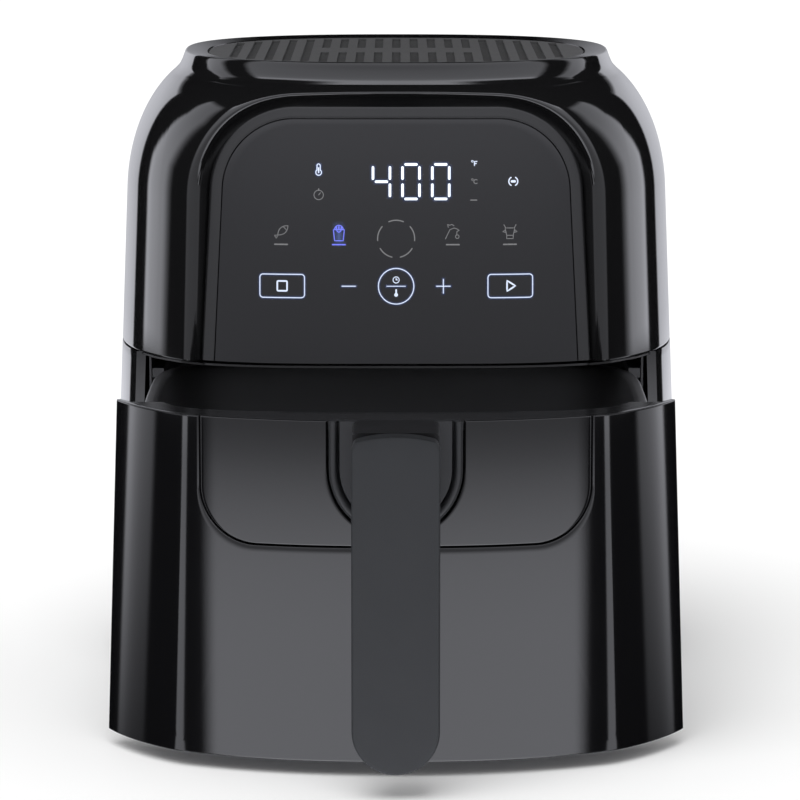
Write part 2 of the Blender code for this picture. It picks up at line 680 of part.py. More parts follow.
def make_plunger(parent):
    """The switch's button, along +Y from its parent empty at the button's tip."""
    profile = [(0.0013, 0.0), (0.0018, 0.0005), (0.0018, 0.0125)]
    turned("switch_plunger", profile, parent, "white_plastic", axis="y", segments=10)


def wall_rings(z_low, z_high, inset, thick):
    """A curved wall that follows the drawer's front, as outline rings at its foot and its top."""
    rings = []
    for z in (z_low, z_high):
        a, b = body_size(z)
        outer = part_plan(a - inset, b - inset, z, JAMB_Y - 0.0006, front=True)
        inner = part_plan(a - inset - thick, b - inset - thick, z, JAMB_Y - 0.0006, front=True)
        rings.append(outer + inner[::-1])
    return rings


def fascia_outline(grow, steps=5):
    """The groove line on the drawer's front: straight sides, round lower corners, open upwards."""
    half = FASCIA_HALF_WIDTH + grow
    bottom = FASCIA_BOTTOM_Z - grow
    corner = FASCIA_CORNER + grow
    points = [(half, DRAWER_TOP_Z + 0.010)]
    for k in range(steps + 1):
        angle = -math.pi / 2 * k / steps
        points.append((half - corner + corner * math.cos(angle), bottom + corner + corner * math.sin(angle)))
    return points + [(-x, z) for x, z in reversed(points)]


def niche_outline(half, steps=10):
    """The U that the handle's bracket fills, open upwards."""
    points = [(half, DRAWER_TOP_Z + 0.010)]
    for k in range(steps + 1):
        angle = -math.pi * k / steps
        points.append((half * math.cos(angle), NICHE_CENTRE_Z + half * math.sin(angle)))
    return points + [(-half, DRAWER_TOP_Z + 0.010)]


def make_drawer_front(parent):
    rings = wall_rings(FLOOR_Z, DRAWER_TOP_Z, 0.0, DRAWER_WALL)
    front = loft("drawer_front", rings, parent, "gloss_black")
    cut(front, prism("cut_fascia_opening", fascia_outline(GROOVE / 2), -0.150, -0.070, parent))
    fascia = loft("drawer_fascia", rings, parent, "gloss_black")
    keep(fascia, prism("keep_fascia", fascia_outline(-GROOVE / 2), -0.150, -0.070, parent))
    cut(fascia, prism("cut_niche", niche_outline(NICHE_HALF_WIDTH), -0.150, -0.070, parent))
    cap_rings = []
    for z in (RIM_Z + GAP, DRAWER_TOP_Z - 0.0012):
        a, b = body_size(z)
        inside = part_plan(a - DRAWER_WALL - GAP, b - DRAWER_WALL - GAP, z, JAMB_Y - 0.0006, front=True)
        cap_rings.append(inside)
    cap = loft("drawer_cap", cap_rings, parent, "satin_black")
    mouth = [
        plan(BASKET_HALF_WIDTH - STEEL, BASKET_HALF_DEPTH - STEEL, z, BASKET_POWER, BASKET_CENTRE_Y)
        for z in (0.150, 0.170)
    ]
    seat = blocks("cut_bracket_seat", [((-0.0318, -0.130, 0.150), (0.0318, -0.1100, 0.170))], parent)
    cut(cap, loft("cut_basket_mouth", mouth, parent), seat)
    cover = blocks("drawer_inner_cover", [((-0.1225, -0.0620, 0.014), (0.1225, -0.0600, 0.1582))], parent, "satin_black")
    around = basket_rings(0.0006)
    cut(cover, loft("cut_basket_clearance", around[:-2], parent))
    floor_rings = []
    for z in (FLOOR_Z + 0.0080, FLOOR_Z + 0.0100):
        a, b = body_size(z)
        inside = part_plan(a - DRAWER_WALL - GAP, b - DRAWER_WALL - GAP, z, JAMB_Y - 0.0026, front=True)
        floor_rings.append(inside)
    add(cover, loft("add_drawer_floor", floor_rings, parent))


def basket_rings(grow=0.0):
    """The basket's outside, from its floor to its rim."""
    rings = []
    for z, inset in ((BASKET_BOTTOM_Z, 0.007), (BASKET_BOTTOM_Z + 0.002, 0.002), (BASKET_BOTTOM_Z + 0.007, 0.0)):
        taper = BASKET_TAPER * (RIM_Z - z)
        a = BASKET_HALF_WIDTH - taper - inset + grow
        b = BASKET_HALF_DEPTH - taper - inset + grow
        rings.append(plan(a, b, z - grow, BASKET_POWER, BASKET_CENTRE_Y, 36))
    top = RIM_Z - 0.0018
    taper = BASKET_TAPER * (RIM_Z - top)
    a = BASKET_HALF_WIDTH - taper + grow
    b = BASKET_HALF_DEPTH - taper + grow
    rings.append(plan(a, b, top, BASKET_POWER, BASKET_CENTRE_Y, 36))
    for z in (top, RIM_Z):
        rings.append(plan(RIM_HALF_WIDTH, RIM_HALF_DEPTH, z, RIM_POWER, BASKET_CENTRE_Y, 36))
    return rings


def make_basket(parent):
    rings = basket_rings()
    for z, inset in ((RIM_Z, 0.0), (BASKET_BOTTOM_Z + 0.007, 0.0), (BASKET_BOTTOM_Z + 0.0032, 0.002)):
        taper = BASKET_TAPER * (RIM_Z - z)
        a = BASKET_HALF_WIDTH - STEEL - taper - inset
        b = BASKET_HALF_DEPTH - STEEL - taper - inset
        rings.append(plan(a, b, z, BASKET_POWER, BASKET_CENTRE_Y, 36))
    a = BASKET_HALF_WIDTH - STEEL - BASKET_TAPER * (RIM_Z - BASKET_BOTTOM_Z) - 0.007
    b = BASKET_HALF_DEPTH - STEEL - BASKET_TAPER * (RIM_Z - BASKET_BOTTOM_Z) - 0.007
    rings.append(plan(a, b, BASKET_BOTTOM_Z + STEEL, BASKET_POWER, BASKET_CENTRE_Y, 36))
    loft("basket", rings, parent, "coated_steel")
    tab = ((-0.006, 0.1016, 0.1430), (0.006, 0.1080, 0.1560))
    blocks("switch_tab", [tab], parent, "satin_black")


def grip_outline(inset, steps=8):
    """The grip seen from the front: half-round foot, straight sides, crowned top."""
    half = GRIP_HALF_WIDTH - inset
    foot = GRIP_BOTTOM_Z + GRIP_HALF_WIDTH
    top = GRIP_TOP_Z - GRIP_CROWN - inset
    points = []
    for k in range(steps + 1):
        angle = -math.pi * k / steps
        points.append((half * math.cos(angle), foot + half * math.sin(angle)))
    points += [(-half, top - 0.002), (-half + 0.002, top)]
    points += [(-half * 0.5, top + GRIP_CROWN * 0.75), (0, top + GRIP_CROWN), (half * 0.5, top + GRIP_CROWN * 0.75)]
    return points + [(half - 0.002, top), (half, top - 0.002)]


def make_handle(parent):
    niche = prism("keep_bracket", niche_outline(NICHE_HALF_WIDTH - 0.0004), -0.150, -0.070, parent)
    bracket = loft("handle_bracket", wall_rings(0.100, DRAWER_TOP_Z, 0.0022, 0.0045), parent, "bracket_grey")
    keep(bracket, niche)
    arm = []
    for y, half, low, high in (
        (-0.1160, 0.0215, 0.134, 0.1630),
        (-0.1280, 0.0200, 0.141, 0.1622),
        (-0.1420, 0.0190, 0.146, 0.1622),
        (GRIP_BACK_Y + GAP, 0.0186, 0.148, 0.1630),
    ):
        arm.append([(-half, y, low), (half, y, low), (half, y, high), (-half, y, high)])
    add(bracket, loft("add_handle_arm", arm, parent))
    front = [
        [(x, GRIP_SPLIT_Y - GAP, z) for x, z in grip_outline(0.0)],
        [(x, GRIP_FRONT_Y + 0.0020, z) for x, z in grip_outline(0.0)],
        [(x, GRIP_FRONT_Y, z) for x, z in grip_outline(0.0020)],
    ]
    grip = loft("handle_grip", front, parent, "grip_charcoal")
    back = [
        [(x, GRIP_SPLIT_Y, z) for x, z in grip_outline(0.0006)],
        [(x, GRIP_BACK_Y - 0.0015, z) for x, z in grip_outline(0.0006)],
        [(x, GRIP_BACK_Y, z) for x, z in grip_outline(0.0020)],
    ]
    half = loft("handle_back", back, parent, "grip_charcoal")
    screw("grip_screw", (0, GRIP_BACK_Y + GAP, 0.060), 0.010, "-y", parent, [half, grip])
    for side, x in (("left", -0.012), ("right", 0.012)):
        head = (x, -0.1125 + 0.0022, 0.152)
        screw(f"handle_screw_{side}", head, 0.010, "-y", parent, [bracket])


def make_crisper(parent):
    """The perforated plate and its silicone feet, from the parent empty at the plate's rest."""
    a = BASKET_HALF_WIDTH - STEEL - BASKET_TAPER * (RIM_Z - PLATE_Z[0]) - 0.0015
    b = BASKET_HALF_DEPTH - STEEL - BASKET_TAPER * (RIM_Z - PLATE_Z[0]) - 0.0015
    rings = [plan(a, b, z, BASKET_POWER, BASKET_CENTRE_Y, 32) for z in PLATE_Z]
    plate = loft("crisper_plate", rings, parent, "coated_steel")
    holes = []
    for column in range(-4, 5):
        for row in range(-3, 4):
            x = column * 0.0230
            y = BASKET_CENTRE_Y + row * 0.0230
            if abs(column) > 3 and abs(row) > 2:
                continue
            if abs(column) < 2 and row == 0:
                continue
            holes.append(((x - 0.0045, y - 0.0045, 0.025), (x + 0.0045, y + 0.0045, 0.045)))
    holes.append(((-0.0180, BASKET_CENTRE_Y - 0.0080, 0.025), (0.0180, BASKET_CENTRE_Y + 0.0080, 0.045)))
    cut(plate, blocks("cut_plate_holes", holes, parent))
    for end, y in (("front", -0.0515), ("rear", 0.0635)):
        for side, x in (("left", -0.0575), ("right", 0.0575)):
            profile = [(0.0045, BASKET_BOTTOM_Z + STEEL + 2 * GAP), (0.0055, 0.0240), (0.0055, PLATE_Z[0] - GAP)]
            turned(f"plate_foot_{end}_{side}", profile, parent, "silicone", (x, y, 0), segments=12)


def main():
    for obj in list(bpy.data.objects):
        bpy.data.objects.remove(obj, do_unlink=True)
    body = empty("body_frame", None, (0, BODY_SHIFT, 0))
    make_upper_housing(body)
    make_control_panel(body)
    make_top_vent(body)
    make_lower_housing(body)
    make_liner(body)
    make_divider(body, bpy.data.objects["cut_panel_recess"])
    make_heater(body)
    make_motor(body)
    make_rear(body)
    make_rotor(empty("fan_axis", body, (0, AXIS_Y, 0)))
    make_plunger(empty("plunger_axis", body, (0, 0.1085, SWITCH_Z)))
    drawer = empty("drawer_slide", body, (0, -DRAWER_OUT, 0))
    make_drawer_front(drawer)
    make_basket(drawer)
    make_handle(drawer)
    make_crisper(empty("crisper_lift", drawer, (0, 0, 0)))


main()
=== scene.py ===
# Basket air fryer: its visible surfaces and finishes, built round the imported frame. Metres, +Z up.
import json
import math

import bmesh
import bpy
import numpy as np
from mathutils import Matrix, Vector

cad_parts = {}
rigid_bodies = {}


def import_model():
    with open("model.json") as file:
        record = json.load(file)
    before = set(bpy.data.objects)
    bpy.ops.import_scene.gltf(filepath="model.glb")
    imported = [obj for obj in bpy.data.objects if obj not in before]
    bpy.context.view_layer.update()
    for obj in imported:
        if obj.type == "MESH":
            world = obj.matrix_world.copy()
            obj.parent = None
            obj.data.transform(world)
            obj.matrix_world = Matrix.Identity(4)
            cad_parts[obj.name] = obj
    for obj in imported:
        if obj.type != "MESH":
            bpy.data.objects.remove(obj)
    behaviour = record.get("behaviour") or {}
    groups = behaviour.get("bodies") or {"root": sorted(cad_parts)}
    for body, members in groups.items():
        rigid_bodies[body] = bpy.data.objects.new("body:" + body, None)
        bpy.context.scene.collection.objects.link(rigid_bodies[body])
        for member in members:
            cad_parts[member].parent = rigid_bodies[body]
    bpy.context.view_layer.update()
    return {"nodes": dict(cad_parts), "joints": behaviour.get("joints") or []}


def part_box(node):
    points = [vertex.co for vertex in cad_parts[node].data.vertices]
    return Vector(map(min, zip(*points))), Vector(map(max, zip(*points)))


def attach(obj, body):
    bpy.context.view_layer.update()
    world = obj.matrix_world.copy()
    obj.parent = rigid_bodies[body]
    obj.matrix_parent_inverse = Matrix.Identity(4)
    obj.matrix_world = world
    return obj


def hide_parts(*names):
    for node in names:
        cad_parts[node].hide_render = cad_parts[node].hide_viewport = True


for leftover in list(bpy.data.objects):
    bpy.data.objects.remove(leftover, do_unlink=True)
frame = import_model()

# The body's own origin and the open drawer's place, read from the frame.
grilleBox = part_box("top_vent_grille")
slideRange = next(joint["range_m"] for joint in frame["joints"] if joint["name"] == "drawer_slide")
planCentre = 0.005
bodyY = (grilleBox[0].y + grilleBox[1].y) / 2 - planCentre
drawerY = bodyY + slideRange[0]

camera = {"lens": 180.3, "sensor": 36.0, "tilt": 81.0, "x": 0.0019, "back": 2.058, "z": 0.459}


def linkObject(name, data):
    # Puts a new object in the scene.
    made = bpy.data.objects.new(name, data)
    bpy.context.scene.collection.objects.link(made)
    return made


def makeCamera():
    # A long lens that looks a little down at the front.
    data = bpy.data.cameras.new("camera")
    data.lens = camera["lens"]
    data.sensor_width = camera["sensor"]
    data.clip_end = 60
    eye = linkObject("camera", data)
    eye.location = (camera["x"], bodyY - camera["back"], camera["z"])
    eye.rotation_euler = (math.radians(camera["tilt"]), 0, 0)
    bpy.context.scene.camera = eye


makeCamera()
print("camera placed")


# colour, how much the tone wanders, roughness and its spread, grain size (per metre), grain height (metres)
finishes = {
    "glossShell": {"colour": (0.0065, 0.0065, 0.0070), "tone": 0.20, "rough": 0.060, "spread": 0.020,
                   "grain": 900, "height": 0.000004},
    "glossFace": {"colour": (0.0044, 0.0044, 0.0050), "tone": 0.20, "rough": 0.080, "spread": 0.025,
                  "grain": 900, "height": 0.000004},
    "satinBlack": {"colour": (0.014, 0.014, 0.015), "tone": 0.25, "rough": 0.34, "spread": 0.10,
                   "grain": 2600, "height": 0.000020},
    "capBlack": {"colour": (0.0030, 0.0030, 0.0033), "tone": 0.20, "rough": 0.22, "spread": 0.05,
                 "grain": 1500, "height": 0.000006, "shine": 0.20},
    "ventGrey": {"colour": (0.058, 0.058, 0.059), "tone": 0.12, "rough": 0.62, "spread": 0.08,
                 "grain": 3200, "height": 0.000030},
    "bezelGrey": {"colour": (0.0105, 0.0105, 0.0115), "tone": 0.10, "rough": 0.20, "spread": 0.06,
                  "grain": 3000, "height": 0.000010, "shine": 0.47},
    "touchGlass": {"colour": (0.0060, 0.0060, 0.0075), "tone": 0.06, "rough": 0.16, "spread": 0.03,
                   "grain": 500, "height": 0.000002, "shine": 0.42},
    "gripCharcoal": {"colour": (0.0135, 0.0145, 0.0160), "tone": 0.16, "rough": 0.56, "spread": 0.10,
                     "grain": 2300, "height": 0.000060, "shine": 0.24},
    "bracketGrey": {"colour": (0.0125, 0.0130, 0.0145), "tone": 0.10, "rough": 0.40, "spread": 0.08,
                    "grain": 2600, "height": 0.000020, "shine": 0.30},
    # The arm is black plastic, taken darker than the grip and the bracket as painted shade on the bridge's
    # top.
    "armBlack": {"colour": (0.0040, 0.0040, 0.0044), "tone": 0.15, "rough": 0.36, "spread": 0.08,
                 "grain": 2600, "height": 0.000015, "shine": 0.30},
    "coatedSteel": {"colour": (0.034, 0.034, 0.036), "tone": 0.30, "rough": 0.42, "spread": 0.10,
                    "grain": 1800, "height": 0.000035, "metal": 0.25},
    "brightSteel": {"colour": (0.52, 0.52, 0.51), "tone": 0.12, "rough": 0.28, "spread": 0.12,
                    "grain": 700, "height": 0.000010, "metal": 1.0},
    "elementSteel": {"colour": (0.15, 0.135, 0.12), "tone": 0.40, "rough": 0.45, "spread": 0.12,
                     "grain": 1200, "height": 0.000030, "metal": 1.0},
    "rubberBlack": {"colour": (0.016, 0.016, 0.016), "tone": 0.25, "rough": 0.80, "spread": 0.10,
                    "grain": 2400, "height": 0.000050},
    "silicone": {"colour": (0.050, 0.050, 0.052), "tone": 0.15, "rough": 0.62, "spread": 0.08,
                 "grain": 2000, "height": 0.000020},
    "boardGreen": {"colour": (0.018, 0.10, 0.045), "tone": 0.35, "rough": 0.42, "spread": 0.10,
                   "grain": 1500, "height": 0.000030},
    "whitePlastic": {"colour": (0.66, 0.65, 0.62), "tone": 0.08, "rough": 0.48, "spread": 0.08,
                     "grain": 1500, "height": 0.000015},
}


def mathNode(tree, operation, *values):
    # A Math node fed by sockets or plain numbers in the order of its inputs; gives back its result.
    node = tree.nodes.new("ShaderNodeMath")
    node.operation = operation
    for socket, value in zip(node.inputs, values):
        if isinstance(value, bpy.types.NodeSocket):
            tree.links.new(value, socket)
        else:
            socket.default_value = value
    return node.outputs[0]


def mouldedGroup():
    # Tone wanders with a broad noise, roughness with a middle one, and the height is fine grain.
    group = bpy.data.node_groups.new("mouldedSurface", "ShaderNodeTree")
    face = group.interface
    face.new_socket("Colour", in_out="INPUT", socket_type="NodeSocketColor")
    for label in ("Tone", "Roughness", "Spread", "Grain"):
        face.new_socket(label, in_out="INPUT", socket_type="NodeSocketFloat")
    face.new_socket("Colour", in_out="OUTPUT", socket_type="NodeSocketColor")
    face.new_socket("Roughness", in_out="OUTPUT", socket_type="NodeSocketFloat")
    face.new_socket("Height", in_out="OUTPUT", socket_type="NodeSocketFloat")
    nodes = group.nodes
    links = group.links
    source = nodes.new("NodeGroupInput")
    target = nodes.new("NodeGroupOutput")
    place = nodes.new("ShaderNodeTexCoord")
    noises = {}
    for label, scale, detail in (("broad", 9.0, 3.0), ("middle", 70.0, 4.0), ("fine", 1.0, 2.0)):
        noise = nodes.new("ShaderNodeTexNoise")
        noise.inputs["Scale"].default_value = scale
        noise.inputs["Detail"].default_value = detail
        links.new(place.outputs["Object"], noise.inputs["Vector"])
        noises[label] = noise
    links.new(source.outputs["Grain"], noises["fine"].inputs["Scale"])
    half = mathNode(group, "MULTIPLY_ADD", source.outputs["Tone"], -0.5, 1.0)
    tone = mathNode(group, "MULTIPLY_ADD", noises["broad"].outputs["Fac"], source.outputs["Tone"], half)
    shade = nodes.new("ShaderNodeVectorMath")
    shade.operation = "SCALE"
    links.new(source.outputs["Colour"], shade.inputs[0])
    links.new(tone, shade.inputs["Scale"])
    links.new(shade.outputs[0], target.inputs["Colour"])
    centred = mathNode(group, "SUBTRACT", noises["middle"].outputs["Fac"], 0.5)
    rough = mathNode(group, "MULTIPLY_ADD", centred, source.outputs["Spread"], source.outputs["Roughness"])
    links.new(rough, target.inputs["Roughness"])
    links.new(noises["fine"].outputs["Fac"], target.inputs["Height"])
    return group


moulded = mouldedGroup()


def newMaterial(name):
    # A new material, its node tree and its Principled shader.
    material = bpy.data.materials.new(name)
    material.use_nodes = True
    tree = material.node_tree
    return material, tree, tree.nodes["Principled BSDF"]


def makeFinish(name):
    # Colour and roughness come from the moulded surface, and the normal from its grain.
    look = finishes[name]
    material, tree, shader = newMaterial(name)
    shader.inputs["Metallic"].default_value = look.get("metal", 0.0)
    shader.inputs["IOR"].default_value = 1.5
    shader.inputs["Specular IOR Level"].default_value = look.get("shine", 0.5)
    surface = tree.nodes.new("ShaderNodeGroup")
    surface.node_tree = moulded
    surface.inputs["Colour"].default_value = (*look["colour"], 1)
    for label, key in (("Tone", "tone"), ("Roughness", "rough"), ("Spread", "spread"), ("Grain", "grain")):
        surface.inputs[label].default_value = look[key]
    bump = tree.nodes.new("ShaderNodeBump")
    bump.inputs["Strength"].default_value = 1.0
    bump.inputs["Distance"].default_value = look["height"]
    tree.links.new(surface.outputs["Colour"], shader.inputs["Base Color"])
    tree.links.new(surface.outputs["Roughness"], shader.inputs["Roughness"])
    tree.links.new(surface.outputs["Height"], bump.inputs["Height"])
    tree.links.new(bump.outputs["Normal"], shader.inputs["Normal"])
    return material


materials = {name: makeFinish(name) for name in finishes}
print("finishes made")


def gridFaces(rows, columns, closeRows=False, closeColumns=True):
    # Square (i, j) joins (i, j), (i, j+1), (i+1, j+1) and (i+1, j); a closed side wraps to its first line.
    i, j = np.meshgrid(
        np.arange(rows if closeRows else rows - 1),
        np.arange(columns if closeColumns else columns - 1),
        indexing="ij",
    )
    nextI = (i + 1) % rows
    nextJ = (j + 1) % columns
    corners = (i * columns + j, i * columns + nextJ, nextI * columns + nextJ, nextI * columns + j)
    return np.stack(corners, -1).reshape(-1, 4)


def sideCaps(rows, count):
    # The two end faces of a band whose rows are closed and whose columns aren't.
    first = np.arange(rows) * count
    return [first, (first + count - 1)[::-1]]


def newMesh(name, points, faces):
    mesh = bpy.data.meshes.new(name)
    points = np.asarray(points, float).reshape(-1, 3)
    mesh.from_pydata(points.tolist(), [], [list(map(int, face)) for face in faces])
    return mesh


def tidyMesh(mesh, merge=0.0):
    # Merges the points nearer than merge, drops the faces that this flattens, and turns the faces outwards.
    edit = bmesh.new()
    edit.from_mesh(mesh)
    if merge:
        bmesh.ops.remove_doubles(edit, verts=edit.verts, dist=merge)
        bmesh.ops.dissolve_degenerate(edit, edges=edit.edges, dist=merge)
    bmesh.ops.recalc_face_normals(edit, faces=edit.faces)
    edit.to_mesh(mesh)
    edit.free()


def makePiece(name, points, faces, finish, body, replaced=(), angle=38, caps=(), merge=1e-6):
    # Builds a piece's mesh from its surface and end faces, and dresses it.
    mesh = newMesh(name, points, [*faces, *caps])
    tidyMesh(mesh, merge)
    return dressPiece(linkObject(name, mesh), finish, body, replaced, angle)


def dressPiece(piece, finish, body, replaced=(), angle=38):
    # Smooth shading with sharp edges past the angle, the finish, and the body that the piece moves with.
    piece.data.shade_smooth()
    piece.data.set_sharp_from_angle(angle=math.radians(angle))
    piece.data.materials.clear()
    piece.data.materials.append(materials[finish])
    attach(piece, body)
    if replaced:
        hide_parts(*replaced)
    return piece


def applyModifiers(piece):
    # Bakes the piece's modifiers into its mesh.
    graph = bpy.context.evaluated_depsgraph_get()
    mesh = bpy.data.meshes.new_from_object(piece.evaluated_get(graph))
    piece.modifiers.clear()
    piece.data = mesh


def cutAway(piece, points, faces):
    # Subtracts a closed shape, or several that don't touch, from the piece.
    mesh = newMesh("cutter", points, faces)
    tidyMesh(mesh)
    cutter = linkObject("cutter", mesh)
    modifier = piece.modifiers.new("cut", "BOOLEAN")
    modifier.operation = "DIFFERENCE"
    modifier.object = cutter
    modifier.solver = "EXACT"
    applyModifiers(piece)
    bpy.data.objects.remove(cutter, do_unlink=True)
    bpy.data.meshes.remove(mesh)


def prisms(outlines, low, high, axis):
    # Several closed outlines of equally many points, each pushed from low to high along Y or Z.
    outlines = np.asarray(outlines, float)
    count, size, _ = outlines.shape
    points = []
    for level in (low, high):
        height = np.full((count, size, 1), level)
        if axis == "z":
            points.append(np.concatenate([outlines, height], -1))
        else:
            points.append(np.concatenate([outlines[..., :1], height, outlines[..., 1:]], -1))
    points = np.stack(points, 1)
    faces = []
    for k in range(count):
        base = 2 * k * size
        ring = np.arange(size)
        ahead = (ring + 1) % size
        sides = np.stack([base + ring, base + ahead, base + size + ahead, base + size + ring], -1)
        faces += sides.tolist()
        faces += [(base + ring).tolist(), (base + size + ring[::-1]).tolist()]
    return points.reshape(-1, 3), faces


def roundedBox(centre, halfWidth, halfHeight, corner, steps=4):
    # Outline of a rectangle with round corners: a quarter circle about each corner's centre.
    turns = np.concatenate([np.linspace(k, k + 1, steps + 1) for k in range(4)]) * math.pi / 2
    signX = np.repeat([1, -1, -1, 1], steps + 1)
    signZ = np.repeat([1, 1, -1, -1], steps + 1)
    x = centre[0] + signX * (halfWidth - corner) + corner * np.cos(turns)
    z = centre[1] + signZ * (halfHeight - corner) + corner * np.sin(turns)
    return np.stack([x, z], -1)


def turned(profile, centre, axis="z", segments=48):
    # A (radius, height) profile turned about an axis: x = r cos t, y = r sin t.
    profile = np.asarray(profile, float)
    turn = np.linspace(0, 2 * math.pi, segments, endpoint=False)
    across = profile[:, :1] * np.cos(turn)
    along = profile[:, :1] * np.sin(turn)
    height = np.repeat(profile[:, 1:2], segments, 1)
    order = (across, along, height) if axis == "z" else (across, height, along)
    return np.stack(order, -1) + np.asarray(centre, float), gridFaces(len(profile), segments)


def softMax(a, b, width):
    # The larger of two surfaces, rounded where they cross: max + h^3 w/6, with h = 1 - |a-b|/w kept above 0.
    h = np.clip(1 - np.abs(a - b) / width, 0, None)
    return np.maximum(a, b) + h**3 * width / 6


def smoothCurve(points, count):
    # A Catmull-Rom curve through the rows of points, count samples in each stretch.
    points = np.asarray(points, float)
    padded = np.vstack([2 * points[0] - points[1], points, 2 * points[-1] - points[-2]])
    t = np.linspace(0, 1, count, endpoint=False)[None, :, None]
    p0, p1, p2, p3 = (padded[k : len(padded) - 3 + k, None] for k in range(4))
    curve = 0.5 * (2 * p1 + (p2 - p0) * t + (2 * p0 - 5 * p1 + 4 * p2 - p3) * t**2
                   + (3 * p1 - p0 - 3 * p2 + p3) * t**3)
    return np.vstack([curve.reshape(-1, points.shape[1]), points[-1:]])


def smoothStep(x, low, high):
    # 0 below low, 1 above high, and t^2 (3 - 2t) between.
    t = np.clip((x - low) / (high - low), 0, 1)
    return t * t * (3 - 2 * t)


def quarter(first, steps):
    # Angles that carry a rounded edge from the share first of a quarter turn to its end.
    return np.linspace(first, 1, steps) * math.pi / 2


# The body's plan is a superellipse at every height: half sizes at the seam, how they shrink with height,
# and the shoulder's quarter ellipse. The front half is rounder and fuller, the drawer's face flatter.
body = {
    "power": 2.5, "seamZ": 0.167, "halfWidth": 0.1415, "halfDepth": 0.126, "draft": 0.0402,
    "lowerDraft": 0.0063, "wall": 0.0035,
    "shoulderZ": 0.247, "shoulderHeight": 0.066, "shoulderWidth": 0.042, "shoulderDepth": 0.026,
    "collarZ": 0.305, "collarDrop": 0.5228, "floorZ": 0.007, "lowerTop": 0.1673,
    "frontPower": 2.3, "frontMore": 0.0145, "browPower": 4.0,
    "faceRise": 0.0158, "faceAt": 0.0887, "facePower": 2.3,
}


def bodySize(z):
    # Half width and half depth at height z: a straight draft, then a quarter ellipse for the shoulder.
    z = np.asarray(z, float)
    lift = z - body["seamZ"]
    a = body["halfWidth"] - body["draft"] * lift
    b = body["halfDepth"] - np.where(lift < 0, body["lowerDraft"], body["draft"]) * lift
    rise = np.clip((z - body["shoulderZ"]) / body["shoulderHeight"], 0, 0.9999)
    drop = 1 - np.sqrt(1 - rise**2)
    return a - body["shoulderWidth"] * drop, b - body["shoulderDepth"] * drop, drop


def superellipse(turn, a, b, power):
    # |x/a|^n + |y/b|^n = 1 in polar form: r = (|cos/a|^n + |sin/b|^n)^(-1/n).
    c = np.cos(turn)
    s = np.sin(turn)
    reach = (np.abs(c / a) ** power + np.abs(s / b) ** power) ** (-1 / power)
    return reach * c, reach * s


def faceCurve(x):
    # How far the flat face falls back at x: rise (|x|/at)^p.
    return body["faceRise"] * (np.abs(x) / body["faceAt"]) ** body["facePower"]


# The panel's arch: a bowed face that leans back, tapering upwards, with round top corners; then its seat.
panel = {
    "y": -0.1102, "bow": 0.011, "bowAt": 0.0935, "lean": math.tan(math.radians(6)),
    "halfWidth": 0.0955, "topZ": 0.2937, "taper": 0.0484, "corner": 0.042, "footZ": 0.1686, "middleZ": 0.225,
    "steep": 2.3, "gentle": 1.9, "behind": 0.0022, "fillet": 0.019, "seatGap": 0.0015, "seatWall": 0.8,
    "steps": (44, 30, 40, 60),
}


def panelY(x, z):
    # The control panel's face: bow |x/at|^4 in plan, leaning back with height.
    bow = panel["bow"] * (np.abs(x) / panel["bowAt"]) ** 4
    return bodyY + panel["y"] + bow + panel["lean"] * (z - body["seamZ"])


def recessY(x, z):
    # The panel's seat: the face moved behind, and ahead of it a wall, steep at the sides and gentle above.
    # The arch is a rounded box that widens towards its foot; inside it, d = corner - |(overX, overZ)|.
    half = panel["halfWidth"] + panel["seatGap"] - panel["taper"] * (z - body["seamZ"])
    overX = np.abs(x) - (half - panel["corner"])
    overZ = z - (panel["topZ"] - panel["corner"])
    outside = np.hypot(np.clip(overX, 0, None), np.clip(overZ, 0, None))
    inside = panel["corner"] - outside - np.minimum(np.maximum(overX, overZ), 0)
    above = (np.clip(overZ, 0, None) / np.maximum(outside, 1e-6)) ** 2
    slope = panel["steep"] + (panel["gentle"] - panel["steep"]) * above
    return panelY(x, z) + np.minimum(inside * slope, panel["behind"])


dome = {
    "frontStep": 0.0009, "frontReach": 0.118, "backColumns": 96,
    "foot": [(0.0007, 0.16820), (0.0003, 0.16823), (0.0001, 0.16833), (0.0, 0.1686)],  # inset and height
    "outerRows": (56, 54), "outerFrom": 0.1690,
    # half width, half depth and height: up the collar and over its rolled rim, then down the grille's seat
    "rim": [(0.1112, 0.1058, 0.3080), (0.1094, 0.1053, 0.3115), (0.1081, 0.1050, 0.3150),
            (0.1078, 0.1047, 0.31545), (0.1073, 0.1042, 0.3157), (0.1062, 0.1031, 0.3156)],
    "seat": [(0.1010, 0.0980, 0.3151), (0.0968, 0.0938, 0.3147), (0.0964, 0.0934, 0.3142),
             (0.0963, 0.0933, 0.3110), (0.0920, 0.0890, 0.3110), (0.0920, 0.0890, 0.3080),
             (0.1085, 0.1025, 0.3060)],
    "rimDrop": 0.53, "innerFrom": 0.3015, "innerTo": 0.1712, "innerRows": 16,
    "flangeTop": 0.1707, "flange": 0.0200, "ventInset": 0.0056, "ventCut": (0.112, 0.150),
}


def domeTurns():
    # Angles about the body's axis: even steps in x across the front, even turns round the back.
    a, b, _ = bodySize(0.20)
    x = np.arange(-dome["frontReach"], dome["frontReach"] + 1e-9, dome["frontStep"])
    front = np.arctan2(-b * (1 - np.abs(x / a) ** body["power"]) ** (1 / body["power"]), x)
    back = np.linspace(front[-1], front[0] + 2 * math.pi, dome["backColumns"] + 2)[1:-1]
    return np.concatenate([front, back])


